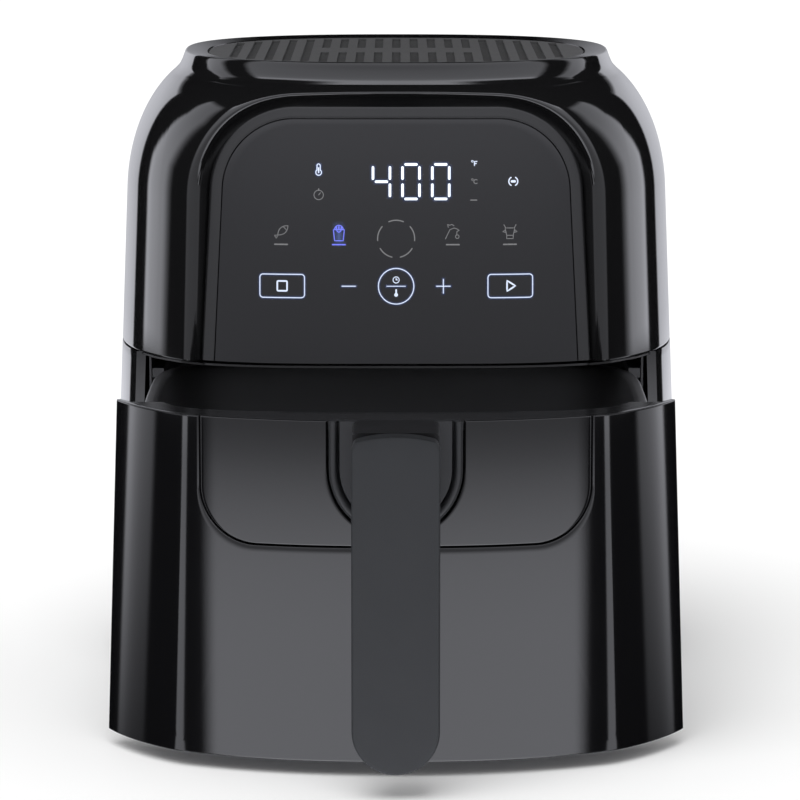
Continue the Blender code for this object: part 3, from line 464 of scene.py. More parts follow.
def domeSurface(turn, a, b, z, drop, inset):
    # The dome's plan at each row: superellipse behind; ahead, a fuller one cut by the panel's seat.
    blend = np.clip(drop / body["collarDrop"], 0, 1)
    x, y = superellipse(turn, a, b, body["power"])
    fullX, fullY = superellipse(turn, a, b + body["frontMore"] * (1 - blend ** body["browPower"]),
                                body["frontPower"] + (body["power"] - body["frontPower"]) * blend)
    ahead = np.sin(turn) < 0
    x = np.where(ahead, fullX, x)
    y = bodyY + planCentre + np.where(ahead, fullY, y)
    z = np.broadcast_to(z, x.shape)
    seat = recessY(x, z) + inset * panel["seatWall"]
    return np.stack([x, np.where(ahead, softMax(y, seat, panel["fillet"]), y), z], -1)


def domeRows():
    # Half width, half depth, height, drop and inset of each row: up the outside, over the collar, down the
    # grille's seat, back down the inside and in along the foot's flange.
    foot = np.array(dome["foot"])
    straight, shoulder = dome["outerRows"]
    top = math.asin((body["collarZ"] - body["shoulderZ"]) / body["shoulderHeight"])
    rise = body["shoulderHeight"] * np.sin(np.linspace(0.02, top, shoulder))
    heights = np.concatenate([foot[:, 1], np.linspace(dome["outerFrom"], body["shoulderZ"], straight),
                              body["shoulderZ"] + rise])
    insets = np.zeros(len(heights))
    insets[: len(foot)] = foot[:, 0]
    a, b, drop = bodySize(heights)
    outer = np.stack([a - insets, b - insets, heights, drop, 0 * a], -1)
    collar = smoothCurve(np.vstack([[a[-1], b[-1], heights[-1]], dome["rim"]]), 4)[1:]
    collar = np.vstack([collar, dome["seat"]])
    collar = np.column_stack([collar, np.full(len(collar), dome["rimDrop"]), np.zeros(len(collar))])
    wall = body["wall"]
    inner = np.linspace(dome["innerFrom"], dome["innerTo"], dome["innerRows"])
    inner = np.concatenate([inner, [dome["flangeTop"], dome["flangeTop"], foot[0, 1]]])
    insets = np.full(len(inner), wall)
    insets[-2:] = dome["flange"]
    a, b, drop = bodySize(inner)
    return np.vstack([outer, collar, np.stack([a - insets, b - insets, inner, drop, 0 * a + wall], -1)])


def makeDome():
    # The upper housing's shell, with an opening for the rear vent's sleeve.
    table = domeRows()[:, :, None]
    turn = domeTurns()[None, :]
    points = domeSurface(turn, *(table[:, k] for k in range(5)))
    faces = gridFaces(len(table), turn.shape[1], closeRows=True)
    piece = makePiece("housing_dome", points, faces, "glossShell", "housing",
                      ["upper_housing"])
    low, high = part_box("rear_vent")
    middle = ((low.x + high.x) / 2, (low.z + high.z) / 2)
    inset = dome["ventInset"]
    hole = roundedBox(middle, (high.x - low.x) / 2 - inset, (high.z - low.z) / 2 - inset, 0.003)
    cutAway(piece, *prisms([hole], *(bodyY + y for y in dome["ventCut"]), "y"))
    dressPiece(piece, "glossShell", "housing")


makeDome()
print("housing dome built")


def archOutline(inset):
    # The arch from its left foot over the top to its right foot, then back along the foot line.
    half = panel["halfWidth"] - inset
    top = panel["topZ"] - inset
    corner = panel["corner"] - inset
    foot = panel["footZ"]
    sideSteps, bendSteps, topSteps, footSteps = panel["steps"]
    spring = top - corner
    springX = half - panel["taper"] * (spring - body["seamZ"])
    footX = half - panel["taper"] * (foot - body["seamZ"])
    side = np.linspace(0, 1, sideSteps, endpoint=False)
    rise = np.stack([-footX + (footX - springX) * side, foot + (spring - foot) * side], -1)
    turn = math.pi - math.pi / 2 * np.linspace(0, 1, bendSteps, endpoint=False)
    bend = np.stack([corner - springX + corner * np.cos(turn), spring + corner * np.sin(turn)], -1)
    over = np.linspace(-(springX - corner), springX - corner, topSteps)
    left = np.vstack([rise, bend])
    right = left[::-1] * [-1, 1]
    back = np.linspace(footX, -footX, footSteps + 2)[1:-1]
    return np.vstack([left, np.stack([over, np.full(topSteps, top)], -1), right,
                      np.stack([back, np.full(footSteps, foot)], -1)])


def shrunk(outline, share):
    # The outline drawn in towards the arch's middle.
    middle = np.array([0.0, panel["middleZ"]])
    return middle + (outline - middle) * share


bezel = {"gap": -0.0008, "width": 0.0055, "edge": 0.0009, "lip": 0.0004, "thick": 0.0019}


glass = {"inset": 0.0058, "edge": 0.0003, "thick": 0.0018, "backInset": 0.0012}


def panelPoints(rows):
    # Each row's outline laid on the panel's face at its own depth.
    return np.stack([
        np.stack([outline[:, 0], panelY(outline[:, 0], outline[:, 1]) + depth, outline[:, 1]], -1)
        for outline, depth in rows
    ])


def makeBezel():
    # A closed band between two arches: its outer edge, its flat face, its inner lip, and its back.
    gap, width, edge, lip = (bezel[key] for key in ("gap", "width", "edge", "lip"))
    rows = [(archOutline(gap + edge * (1 - math.sin(t))), edge * (1 - math.cos(t)))
            for t in quarter(0, 5)[::-1]]
    rows += [(archOutline(gap + edge + (width - gap - edge - lip) * s), 0.0) for s in np.linspace(0.15, 1, 6)]
    rows += [(archOutline(width - lip * (1 - math.sin(t))), lip * (1 - math.cos(t)))
             for t in quarter(0.25, 4)]
    rows += [(archOutline(width), bezel["thick"]), (archOutline(gap), bezel["thick"])]
    points = panelPoints(rows)
    faces = gridFaces(len(rows), points.shape[1], closeRows=True)
    makePiece("panel_bezel", points, faces, "bezelGrey", "housing", ["control_bezel"])


def makeGlass():
    # The front face from its middle to the rounded edge, round to the back, and to the middle again.
    inset, edge, thick = glass["inset"], glass["edge"], glass["thick"]
    back = archOutline(inset + glass["backInset"])
    rows = [(shrunk(archOutline(inset + edge), share), 0.0) for share in np.linspace(0, 1, 26)]
    rows += [(archOutline(inset + edge * (1 - math.sin(t))), edge * (1 - math.cos(t)))
             for t in quarter(0.25, 4)]
    rows += [(archOutline(inset), thick), (back, thick)]
    rows += [(shrunk(back, share), thick) for share in (0.75, 0.5, 0.25, 0.0)]
    points = panelPoints(rows)
    makePiece("panel_glass", points, gridFaces(len(rows), points.shape[1]), "touchGlass", "housing",
              ["touch_panel"])


def makePanel():
    makeBezel()
    makeGlass()


makePanel()
print("control panel built")


def litMaterial(name, colour, strength, base):
    # Back-lit ink, or printed ink given a faint painted glow: the glow varies a little over each stroke.
    material, tree, shader = newMaterial(name)
    shader.inputs["Roughness"].default_value = 0.4
    shader.inputs["Emission Strength"].default_value = strength
    place = tree.nodes.new("ShaderNodeTexCoord")
    noise = tree.nodes.new("ShaderNodeTexNoise")
    noise.inputs["Scale"].default_value = 260.0
    tree.links.new(place.outputs["Object"], noise.inputs["Vector"])
    for socket, shade in (("Base Color", base), ("Emission Color", colour)):
        ramp = tree.nodes.new("ShaderNodeValToRGB")
        ramp.color_ramp.elements[0].color = (*(0.9 * c for c in shade), 1)
        ramp.color_ramp.elements[1].color = (*shade, 1)
        tree.links.new(noise.outputs["Fac"], ramp.inputs["Fac"])
        tree.links.new(ramp.outputs["Color"], shader.inputs[socket])
    return material


def haloMaterial(name, colour, strength):
    # Light spilling round a lit stroke: fades to nothing at the ribbon's edge, (1 - edge)^2.2.
    material, tree, shader = newMaterial(name)
    shader.inputs["Base Color"].default_value = (0.01, 0.01, 0.012, 1)
    shader.inputs["Roughness"].default_value = 0.3
    shader.inputs["Emission Strength"].default_value = strength
    shader.inputs["Emission Color"].default_value = (*colour, 1)
    edge = tree.nodes.new("ShaderNodeAttribute")
    edge.attribute_name = "edge"
    fade = mathNode(tree, "SUBTRACT", 1.0, edge.outputs["Fac"])
    tree.links.new(mathNode(tree, "POWER", fade, 2.2), shader.inputs["Alpha"])
    return material


materials["litWhite"] = litMaterial("litWhite", (0.80, 0.90, 1.0), 1.15, (0.5, 0.5, 0.5))
materials["litSoft"] = litMaterial("litSoft", (0.62, 0.74, 1.0), 0.80, (0.4, 0.4, 0.4))
materials["litBlue"] = litMaterial("litBlue", (0.13, 0.17, 0.95), 0.85, (0.1, 0.1, 0.3))
# The printed grey icons glow faintly as well: painted light on ink that has no lamp behind it.
materials["printGrey"] = litMaterial("printGrey", (0.20, 0.20, 0.21), 0.45, (0.12, 0.12, 0.12))
materials["haloBlue"] = haloMaterial("haloBlue", (0.10, 0.22, 0.75), 0.30)

# Places are (x, z) on the panel, strokes are widths, and heights are how far each ink stands proud.
display = {
    "digits": ((-0.0072, "fbgc"), (0.0073, "abcdef"), (0.0219, "abcdef")), "digitZ": 0.2574,
    "digitHeight": 0.0168, "digitWidth": 0.0083, "digitGap": 0.0015, "digitStroke": 0.00125,
    "iconStroke": 0.00036, "lineStroke": 0.00048,
    "captionZ": 0.2267, "captionGap": 0.0006, "captionStroke": 0.0007,
    "keyZ": 0.2064, "keyX": (-0.0560, 0.0561), "keyHalf": (0.0110, 0.0057), "keyCorner": 0.0016,
    "roundKey": 0.0087, "minus": (-0.0266, -0.0200), "plus": (0.0198, 0.0266),
    "thermometer": (-0.0380, 0.2619), "timer": (-0.0380, 0.2509), "shake": (0.0575, 0.2574),
    "hotUnit": (0.0374, 0.2673), "coldUnit": (0.0374, 0.2584), "ring": (0, 0.2295),
    "fish": (-0.0562, 0.2330), "fries": (-0.0281, 0.2318), "bird": (0.0278, 0.2330), "cow": (0.0559, 0.2325),
    "heights": {"digits": 0.00016, "lines": 0.00014, "print": 0.00010, "blue": 0.00014, "halo": 0.00006},
}


def stroke(path, width, height, ends=5):
    # A ribbon carried along a path on the panel: round ends where its width shrinks as a half circle.
    path = np.asarray(path, float)
    closed = bool(np.allclose(path[0], path[-1]))
    if closed:
        path = path[:-1]
        tangent = np.roll(path, -1, 0) - np.roll(path, 1, 0)
    else:
        tangent = np.gradient(path, axis=0)
    tangent /= np.linalg.norm(tangent, axis=1)[:, None]
    reach = np.full(len(path), width / 2)
    if not closed:
        turn = np.linspace(math.pi / 2, 0, ends + 1)[:-1]
        lead = path[0] - tangent[0] * (width / 2 * np.sin(turn))[:, None]
        trail = (path[-1] + tangent[-1] * (width / 2 * np.sin(turn))[:, None])[::-1]
        path = np.vstack([lead, path, trail])
        tangent = np.vstack([np.repeat(tangent[:1], ends, 0), tangent, np.repeat(tangent[-1:], ends, 0)])
        reach = np.concatenate([width / 2 * np.cos(turn), reach, width / 2 * np.cos(turn)[::-1]])
    side = np.stack([-tangent[:, 1], tangent[:, 0]], -1)
    across = np.array([-1, -0.5, 0, 0.5, 1, 1, -1])
    lift = np.array([1, 1, 1, 1, 1, 0, 0]) * height
    flat = path[:, None] + side[:, None] * (across * reach[:, None])[..., None]
    y = panelY(flat[..., 0], flat[..., 1]) - lift + 0.00003  # its underside sinks a little into the glass
    points = np.stack([flat[..., 0], y, flat[..., 1]], -1)
    edge = np.broadcast_to(np.abs(across), flat.shape[:2]).copy()
    if not closed:
        fade = np.concatenate([np.sin(turn), np.zeros(len(path) - 2 * ends), np.sin(turn)[::-1]])
        edge = np.maximum(edge * np.sqrt(1 - fade**2)[:, None], fade[:, None])
    return points.reshape(-1, 3), gridFaces(len(path), 7, closeRows=closed), edge.ravel()


def strokesPiece(part, strokes, finish):
    # Several strokes in one piece; the attribute edge is each point's distance from its stroke's middle.
    points = []
    faces = []
    edges = []
    base = 0
    for path, width in strokes:
        somePoints, someFaces, edge = stroke(path, width, display["heights"][part])
        points.append(somePoints)
        faces.append(someFaces + base)
        edges.append(edge)
        base += len(somePoints)
    mesh = newMesh("display_" + part, np.vstack(points), np.vstack(faces))
    attribute = mesh.attributes.new("edge", "FLOAT", "POINT")
    attribute.data.foreach_set("value", np.concatenate(edges).astype(np.float32))
    tidyMesh(mesh, 1e-7)
    piece = linkObject("display_" + part, mesh)
    piece.visible_glossy = False
    return dressPiece(piece, finish, "housing", angle=50)


def arcPath(centre, radius, start, end, count=24):
    # Points of an arc, angles in degrees from +X.
    turn = np.radians(np.linspace(start, end, count))
    return np.stack([centre[0] + radius * np.cos(turn), centre[1] + radius * np.sin(turn)], -1)


def line(*points, at=(0, 0)):
    # A path through the points, which may be offsets from a place, with a sample about every millimetre.
    points = np.asarray(points, float) + at
    parts = []
    for start, end in zip(points[:-1], points[1:]):
        count = max(2, int(np.linalg.norm(end - start) / 0.001))
        share = np.linspace(0, 1, count, endpoint=False)[:, None]
        parts.append(start + (end - start) * share)
    return np.vstack([*parts, points[-1:]])


def digitStrokes(x, lit):
    # Seven segments round a digit's middle: three across, four upright, named a to g.
    half = display["digitWidth"] / 2
    tall = display["digitHeight"] / 2
    gap = display["digitGap"]
    bars = {
        "a": ((-half + gap, tall), (half - gap, tall)), "g": ((-half + gap, 0), (half - gap, 0)),
        "d": ((-half + gap, -tall), (half - gap, -tall)), "f": ((-half, gap), (-half, tall - gap)),
        "b": ((half, gap), (half, tall - gap)), "e": ((-half, -tall + gap), (-half, -gap)),
        "c": ((half, -tall + gap), (half, -gap)),
    }
    return [(line(*bars[name], at=(x, display["digitZ"])), display["digitStroke"]) for name in lit]


def roundedLoop(centre, halfWidth, halfHeight, corner):
    # A closed path round a box with round corners.
    outline = roundedBox(centre, halfWidth, halfHeight, corner, 6)
    return line(*outline, outline[0])


def captionDashes(x, lengths):
    # Short dashes in a row that stand for a caption, centred on x.
    gap = display["captionGap"]
    start = x - (sum(lengths) + gap * (len(lengths) - 1)) / 2
    strokes = []
    for length in lengths:
        strokes.append((line((0, 0), (length, 0), at=(start, display["captionZ"])), display["captionStroke"]))
        start += length + gap
    return strokes


def keyFrames():
    # The two framed keys, the round key with its bar, and the minus and the plus.
    z = display["keyZ"]
    fine = display["lineStroke"]
    (minusFrom, minusTo), (plusFrom, plusTo) = display["minus"], display["plus"]
    plus = (plusFrom + plusTo) / 2
    tall = (plusTo - plusFrom) / 2
    frames = [(roundedLoop((x, z), *display["keyHalf"], display["keyCorner"]), fine) for x in display["keyX"]]
    return frames + [(arcPath((0, z), display["roundKey"], 0, 360, 72), fine),
                     (line((minusFrom, z), (minusTo, z)), fine), (line((plusFrom, z), (plusTo, z)), fine),
                     (line((plus, z - tall), (plus, z + tall)), fine),
                     (line((-0.0046, z), (0.0046, z)), fine * 0.8)]


def thermometerIcon(at, width=0.0005):
    # An open bulb under a stem with a round top, and the liquid in it.
    x, z = at
    return [(arcPath(at, 0.0014, -235, 55, 20), width),
            (line((-0.0008, 0.0011), (-0.0008, 0.0033), at=at), width),
            (line((0.0008, 0.0011), (0.0008, 0.0033), at=at), width),
            (arcPath((x, z + 0.0033), 0.0008, 0, 180, 10), width), (line((0, 0), (0, 0.0022), at=at), 0.0007)]


def keyMarks():
    # A stop square and a start triangle; a clock over a small thermometer in the round key.
    z = display["keyZ"]
    stop, start = (display["keyX"][0], z), (display["keyX"][1], z)
    clock = (0, z + 0.0031)
    thin = 0.00042
    return [(roundedLoop(stop, 0.0024, 0.0024, 0.0005), 0.0008),
            (line((-0.0016, -0.0026), (-0.0016, 0.0026), (0.0025, 0), (-0.0016, -0.0026), at=start), 0.0008),
            (arcPath(clock, 0.0015, 0, 360, 24), thin), (line((0, 0), (0, 0.0009), at=clock), thin),
            (line((0, 0), (0.0007, 0), at=clock), thin),
            (line((0, -0.0042), (0, -0.0018), at=(0, z)), 0.0008),
            (arcPath((0, z - 0.0042), 0.0006, 0, 360, 12), 0.0007)]


def shakeIcon(at):
    # Two arcs either side of a short bar.
    return [(arcPath(at, 0.0022, 120, 240, 12), 0.0006), (arcPath(at, 0.0022, -60, 60, 12), 0.0006),
            (line((-0.0007, 0), (0.0007, 0), at=at), 0.0012)]


def hotUnit(at):
    # A degree ring and an F, lit.
    return [(arcPath(at, 0.00045, 0, 360, 10), 0.0003),
            (line((0.0010, -0.0021), (0.0010, -0.0001), (0.0022, -0.0001), at=at), 0.0005),
            (line((0.0010, -0.0011), (0.0019, -0.0011), at=at), 0.0005)]


def coldUnit(at):
    # A degree ring and a C, unlit, over a short dash.
    x, z = at
    return [(arcPath(at, 0.00045, 0, 360, 10), 0.0003),
            (arcPath((x + 0.0017, z - 0.0010), 0.0010, 50, 310, 12), 0.0004),
            (line((-0.0008, -0.0100), (0.0022, -0.0100), at=at), 0.0005)]


def timerIcon(at, thin):
    # A round face with one hand and a knob on top.
    return [(arcPath(at, 0.0023, 0, 360, 32), thin), (line((0, 0), (0.0009, 0.0011), at=at), thin),
            (line((0, 0.0023), (0, 0.0029), at=at), 0.0006)]


def friesIcon(at):
    # A tapered carton with a rounded back, a dip in its front edge and three fries.
    x, z = at
    carton = ((-0.0027, 0.0022), (-0.0021, -0.0032), (0.0021, -0.0032), (0.0027, 0.0022), (-0.0027, 0.0022))
    strokes = [(line(*carton, at=at), 0.0005), (arcPath((x, z + 0.0022), 0.0021, 180, 0, 16), 0.0005),
               (arcPath((x, z + 0.0020), 0.0010, 180, 360, 12), 0.0005)]
    for fry in (-0.0011, 0.0, 0.0011):
        strokes.append((line((fry, 0.0024), (fry * 1.2, 0.0036), at=at), 0.0007))
    return strokes


def fishIcon(at, thin):
    # A fish at 42 degrees: two arcs for its body, 1 - s^2 across, a forked tail and a gill.
    turn = math.radians(42)
    s = np.linspace(-1, 1, 18)
    along = 0.0034 * s + 0.0008
    bulge = 0.0016 * (1 - s**2)
    paths = []
    for sign in (1, -1):
        x = along * math.cos(turn) - sign * bulge * math.sin(turn)
        z = along * math.sin(turn) + sign * bulge * math.cos(turn)
        paths.append(np.stack([x, z], -1) + at)
    paths.append(line((-0.0019, -0.0018), (-0.0036, -0.0019), (-0.0026, -0.0034), (-0.0019, -0.0018), at=at))
    paths.append(line((0.0010, 0.0021), (0.0022, 0.0009), at=at))
    return [(path, thin) for path in paths]


def birdIcon(at, thin):
    # A plain bird's head: back of the neck and crown, beak, comb and a lobe.
    x, z = at
    paths = [line((-0.0036, -0.0035), (-0.0014, 0.0010), (0.0006, 0.0018), (0.0020, 0.0014), at=at),
             line((0.0020, 0.0014), (0.0032, 0.0006), (0.0020, 0.0001), (0.0020, -0.0014), at=at),
             line((-0.0022, 0.0022), (-0.0026, 0.0036), (-0.0014, 0.0031), (-0.0006, 0.0036),
                  (0.0006, 0.0029), at=at),
             arcPath((x + 0.0022, z - 0.0024), 0.0009, 0, 360, 12)]
    return [(path, thin) for path in paths]


def cowIcon(at, thin):
    # A plain cow's head: sloping cheeks, a muzzle, two horns and two ears.
    head = ((-0.0024, 0.0022), (-0.0016, -0.0014), (-0.0016, -0.0030), (0.0016, -0.0030), (0.0016, -0.0014),
            (0.0024, 0.0022), (-0.0024, 0.0022))
    paths = [line(*head, at=at), line((-0.0016, -0.0014), (0.0016, -0.0014), at=at)]
    for sign in (1, -1):
        paths.append(line((sign * 0.0022, 0.0024), (sign * 0.0030, 0.0038), at=at))
        paths.append(line((sign * 0.0023, 0.0012), (sign * 0.0036, 0.0004), (sign * 0.0020, 0), at=at))
    return [(path, thin) for path in paths]


def makeDisplay():
    # Lit digits, lit keys and marks, dim printed icons with a faint painted glow, one icon lit blue, and the
    # glow round what is lit.
    digits = []
    for x, lit in display["digits"]:
        digits += digitStrokes(x, lit)
    strokesPiece("digits", digits, "litWhite")
    lit = keyFrames() + thermometerIcon(display["thermometer"])
    marks = keyMarks() + shakeIcon(display["shake"]) + hotUnit(display["hotUnit"])
    strokesPiece("lines", lit + marks, "litSoft")
    thin = display["iconStroke"]
    dim = [(arcPath(display["ring"], 0.0091, start, start + 46, 20), 0.00055)
           for start in (67, -5, 139, 211, 283)]
    dim += timerIcon(display["timer"], thin) + fishIcon(display["fish"], thin)
    dim += birdIcon(display["bird"], thin) + cowIcon(display["cow"], thin) + coldUnit(display["coldUnit"])
    for x in (-0.0565, 0.0278, 0.0559):
        dim += captionDashes(x, (0.0014, 0.0024, 0.0012))
    strokesPiece("print", dim, "printGrey")
    x, z = display["fries"]
    strokesPiece("blue", friesIcon((x, z)) + captionDashes(x, (0.0013, 0.0022, 0.0015)), "litBlue")
    halo = [(path, 0.0042) for path, _ in digits] + [(path, 0.0026) for path, _ in lit]
    halo.append((line((0, -0.0030), (0, 0.0030), at=(x, z)), 0.0085))
    strokesPiece("halo", halo, "haloBlue")


makeDisplay()
print("display built")


vent = {"pitch": 0.0091, "columns": 9, "slot": 0.0043, "slotCorner": 0.0012, "slotMargin": 0.007,
        "break": 0.016, "breakColumns": 5, "edge": ((0.9988, 0.0002), (0.996, 0.0)),
        "rib": 0.0062, "ribWidth": 0.0020, "ribCorner": 0.0006, "ribMargin": 0.006, "ribBase": 0.0003,
        "deep": 0.0012}


def planOutline(a, b, power, count=144):
    # A superellipse about the body's axis.
    turn = np.linspace(0, 2 * math.pi, count, endpoint=False)
    x, y = superellipse(turn, a, b, power)
    return np.stack([x, bodyY + planCentre + y], -1)


def ventReach(along, half, across):
    # How far the plate reaches across at a distance along its other axis.
    power = body["power"]
    return across * (1 - min(1, abs(along) / half) ** power) ** (1 / power)


def makeRibs(low, high, half, deep):
    # Cross ribs lying low in the slots.
    bars = []
    count = int(deep / vent["rib"])
    for row in range(-count, count + 1):
        y = row * vent["rib"]
        reach = ventReach(y, deep, half) - vent["ribMargin"]
        if reach > 0.01:
            centre = (0, bodyY + planCentre + y)
            bars.append(roundedBox(centre, reach, vent["ribWidth"] / 2, vent["ribCorner"], 2))
    mesh = newMesh("vent_ribs", *prisms(bars, low + vent["ribBase"], high - vent["deep"], "z"))
    tidyMesh(mesh)
    dressPiece(linkObject("vent_ribs", mesh), "ventGrey", "housing", angle=30)


def makeGrille():
    # A flat plate with a rolled rim and long slots, all but the outer ones broken in the middle.
    low, high = grilleBox[0].z, grilleBox[1].z
    half = (grilleBox[1].x - grilleBox[0].x) / 2
    deep = (grilleBox[1].y - grilleBox[0].y) / 2
    middle = np.array([0, bodyY + planCentre])
    rows = [(0.0, low), (1.0, low), (1.0, high - 0.0006)]
    rows += [(share, high - drop) for share, drop in vent["edge"]] + [(0.0, high)]
    outline = planOutline(half, deep, body["power"])
    points = np.stack([
        np.column_stack([middle + (outline - middle) * share, np.full(len(outline), z)]) for share, z in rows
    ])
    piece = makePiece("vent_grille", points, gridFaces(len(rows), len(outline)), "ventGrey", "housing",
                      ["top_vent_grille"])
    slots = []
    for column in range(-vent["columns"], vent["columns"] + 1):
        x = column * vent["pitch"]
        reach = ventReach(x, half, deep) - vent["slotMargin"]
        whole = abs(column) >= vent["breakColumns"]
        ends = [(-reach, reach)] if whole else [(-reach, -vent["break"]), (vent["break"], reach)]
        for start, end in ends:
            centre = (x, middle[1] + (start + end) / 2)
            slots.append(roundedBox(centre, vent["slot"] / 2, (end - start) / 2, vent["slotCorner"], 3))
    cutAway(piece, *prisms(slots, low - 0.002, high + 0.002, "z"))
    dressPiece(piece, "ventGrey", "housing", angle=30)
    makeRibs(low, high, half, deep)


makeGrille()
print("top vent built")


lower = {"jamb": -0.058, "wall": 0.004, "floor": 0.0025, "round": 0.0030, "columns": 200, "soft": 0.0006}


def rearTurns(a, b):
    # Angles of the plan's stretch behind the jambs.
    power = body["power"]
    across = a * (1 - (abs(lower["jamb"] - planCentre) / b) ** power) ** (1 / power)
    start = np.arctan2(lower["jamb"] - planCentre, across)
    return start + (math.pi - 2 * start) * np.linspace(0, 1, lower["columns"])


def makeLower():
    # One open tray: rows run down the outside, in under the floor to its middle, back out and up the inside.
    floorZ, topZ, wall, soft = body["floorZ"], body["lowerTop"], lower["wall"], lower["soft"]
    bend = [(lower["round"] * (1 - math.cos(t)), floorZ + lower["round"] * (1 - math.sin(t)))
            for t in quarter(0, 7)]
    rows = [(soft, topZ, 1.0), (soft / 4, topZ - soft / 6, 1.0), (0.0, topZ - soft, 1.0)]
    rows += [(0.0, z, 1.0) for z in np.linspace(topZ - 0.004, floorZ + 0.006, 24)]
    rows += [(inset, z, 1.0) for inset, z in bend]
    rows += [(lower["round"], floorZ, share) for share in (0.7, 0.35, 0.0)]
    inner = floorZ + lower["floor"]
    rows += [(wall + 0.003, inner, share) for share in (0.0, 0.35, 0.7, 1.0)]
    rows += [(wall + 0.0009, inner + 0.0009, 1.0), (wall, inner + 0.003, 1.0), (wall, 0.06, 1.0),
             (wall, 0.12, 1.0),
             (wall, topZ - soft, 1.0), (wall - soft, topZ, 1.0)]
    middle = np.array([0, bodyY + lower["jamb"]])
    points = []
    for inset, z, share in rows:
        a, b, _ = bodySize(z)
        turn = rearTurns(a - inset, b - inset)
        x, y = superellipse(turn, a - inset, b - inset, body["power"])
        flat = np.stack([x, bodyY + planCentre + y], -1)
        flat = middle + (flat - middle) * share
        points.append(np.column_stack([flat, np.full(len(flat), z)]))
    faces = gridFaces(len(rows), lower["columns"], closeRows=True, closeColumns=False)
    makePiece("housing_base", np.stack(points), faces, "glossShell", "housing",
              ["lower_housing"], caps=sideCaps(len(rows), lower["columns"]))


makeLower()
print("lower housing built")


# The drawer's front is a round-sided plan, a little proud of the body, cut off by the flatter face. In it
# lie the fascia panel, a groove apart, and the niche for the handle's bracket.
front = {"topZ": 0.1655, "wall": 0.0026, "face": -0.1244, "faceLean": 0.005, "fullness": 0.1384,
         "fuller": 0.011, "power": 2.2, "crease": 0.0014, "wider": 1.014, "jamb": -0.0594, "round": 0.0006,
         "topRows": 8,
         "creaseX": 0.0972, "creaseFoot": 0.0125, "creaseLean": 0.036, "creaseCorner": 0.004, "insetTurn": 8}
fascia = {"halfWidth": 0.090, "bottomZ": 0.1074, "corner": 0.026, "groove": 0.0008, "wall": 0.0022,
          "edge": 0.0005}
niche = {"half": 0.0315, "centreZ": 0.143}


def frontSize(z, depth):
    # Half width and fullness of the drawer's round sides at height z, drawn in by a depth.
    a, _, _ = bodySize(z)
    return a * front["wider"] - depth, front["fullness"] + front["fuller"] * (z - body["floorZ"]) - depth


def frontPoint(turn, z, depth):
    # The drawer's skin: a round-sided plan cut off by the flatter face, with a slightly soft crease.
    a, b = frontSize(z, depth)
    x, y = superellipse(turn, a, b, front["power"])
    face = front["face"] + front["faceLean"] * (z - body["floorZ"]) + faceCurve(x) + depth
    y = softMax(planCentre + y, face, front["crease"])
    return np.stack([x, drawerY + y, np.broadcast_to(z, x.shape)], -1)


def turnAt(x, z):
    # The angle whose point on the round-sided plan has this x.
    a, b = frontSize(z, 0.0)
    share = np.clip(np.abs(x) / a, 0, 0.99999)
    return np.arctan2(-b * (1 - share ** front["power"]) ** (1 / front["power"]), x)


def uOutline(half, bottom, corner, lean=0.0, count=(60, 44, 90)):
    # A U open upwards, left side first: straight sides that may lean out, round corners, a straight foot.
    top = front["topZ"]
    spring = bottom + corner
    ease = 0.0011  # the first rows lie closer, for the rounded top edge
    z = np.concatenate([top - ease * np.linspace(0, 1, front["topRows"], endpoint=False),
                        top - ease - (top - ease - spring) * np.linspace(0, 1, count[0], endpoint=False)])
    side = np.stack([-(half + lean * (top - z)), z], -1)
    foot = half + lean * (top - spring)
    turn = math.pi + math.pi / 2 * np.linspace(0, 1, count[1], endpoint=False)
    bend = np.stack([-(foot - corner) + corner * np.cos(turn), spring + corner * np.sin(turn)], -1)
    flat = np.linspace(-(foot - corner), foot - corner, count[2])
    left = np.vstack([side, bend])
    return np.vstack([left, np.stack([flat, np.full(count[2], bottom)], -1), left[::-1] * [-1, 1]])


def skinRows(outlines, depths):
    # Each outline on the drawer's skin at its own depth, the top edge rounded by squeezing the depths there.
    points = []
    for outline, depth in zip(outlines, depths):
        turn, z = outline[:, 0], outline[:, 1]
        rise = np.clip((z - (front["topZ"] - front["round"])) / front["round"], 0, 1)
        squeeze = front["round"] * (1 - np.sqrt(1 - np.clip(rise, 0, 0.999) ** 2))
        depth = np.clip(depth, squeeze, front["wall"] - squeeze)
        points.append(frontPoint(turn, z, depth))
    return np.stack(points)


def polar(outline):
    # An outline given by x and z, turned into angle and z on the skin.
    return np.stack([turnAt(outline[:, 0], outline[:, 1]), outline[:, 1]], -1)


def between(first, last, shares):
    # Outlines part of the way from the first to the last.
    return [first + (last - first) * share for share in shares]


def jambTurn(a, b, jamb):
    # The angle at which the round-sided plan meets the line of the jamb.
    reach = a * (1 - ((planCentre - jamb) / b) ** front["power"]) ** (1 / front["power"])
    return np.arctan2(jamb - planCentre, reach)


def sidesOutline(inset):
    # The drawer front's own border: down the left jamb, along the bottom and up the right jamb.
    foot = 90
    outline = uOutline(0.10, body["floorZ"] + inset, 0.001)
    z = outline[:, 1]
    jamb = jambTurn(*frontSize(z, 0.0), front["jamb"])
    corner = (len(z) - foot) // 2
    turn = np.empty(len(z))
    turn[:corner] = (-math.pi - jamb + inset * front["insetTurn"])[:corner]
    turn[-corner:] = (jamb - inset * front["insetTurn"])[-corner:]
    turn[corner:-corner] = np.linspace(turn[corner - 1], turn[-corner], foot + 2)[1:-1]
    return np.stack([turn, z], -1)


def skinPiece(name, points, finish, node):
    # A closed band that follows the drawer's skin from its top edge down, round and up again.
    rows, count = points.shape[:2]
    faces = gridFaces(rows, count, closeRows=True, closeColumns=False)
    return makePiece(name, points, faces, finish, "drawer", [node], caps=sideCaps(rows, count))


def fasciaOutline(grow):
    # The border between the front and the fascia panel, grown outwards.
    return polar(uOutline(fascia["halfWidth"] + grow, fascia["bottomZ"] - grow, fascia["corner"] + grow))


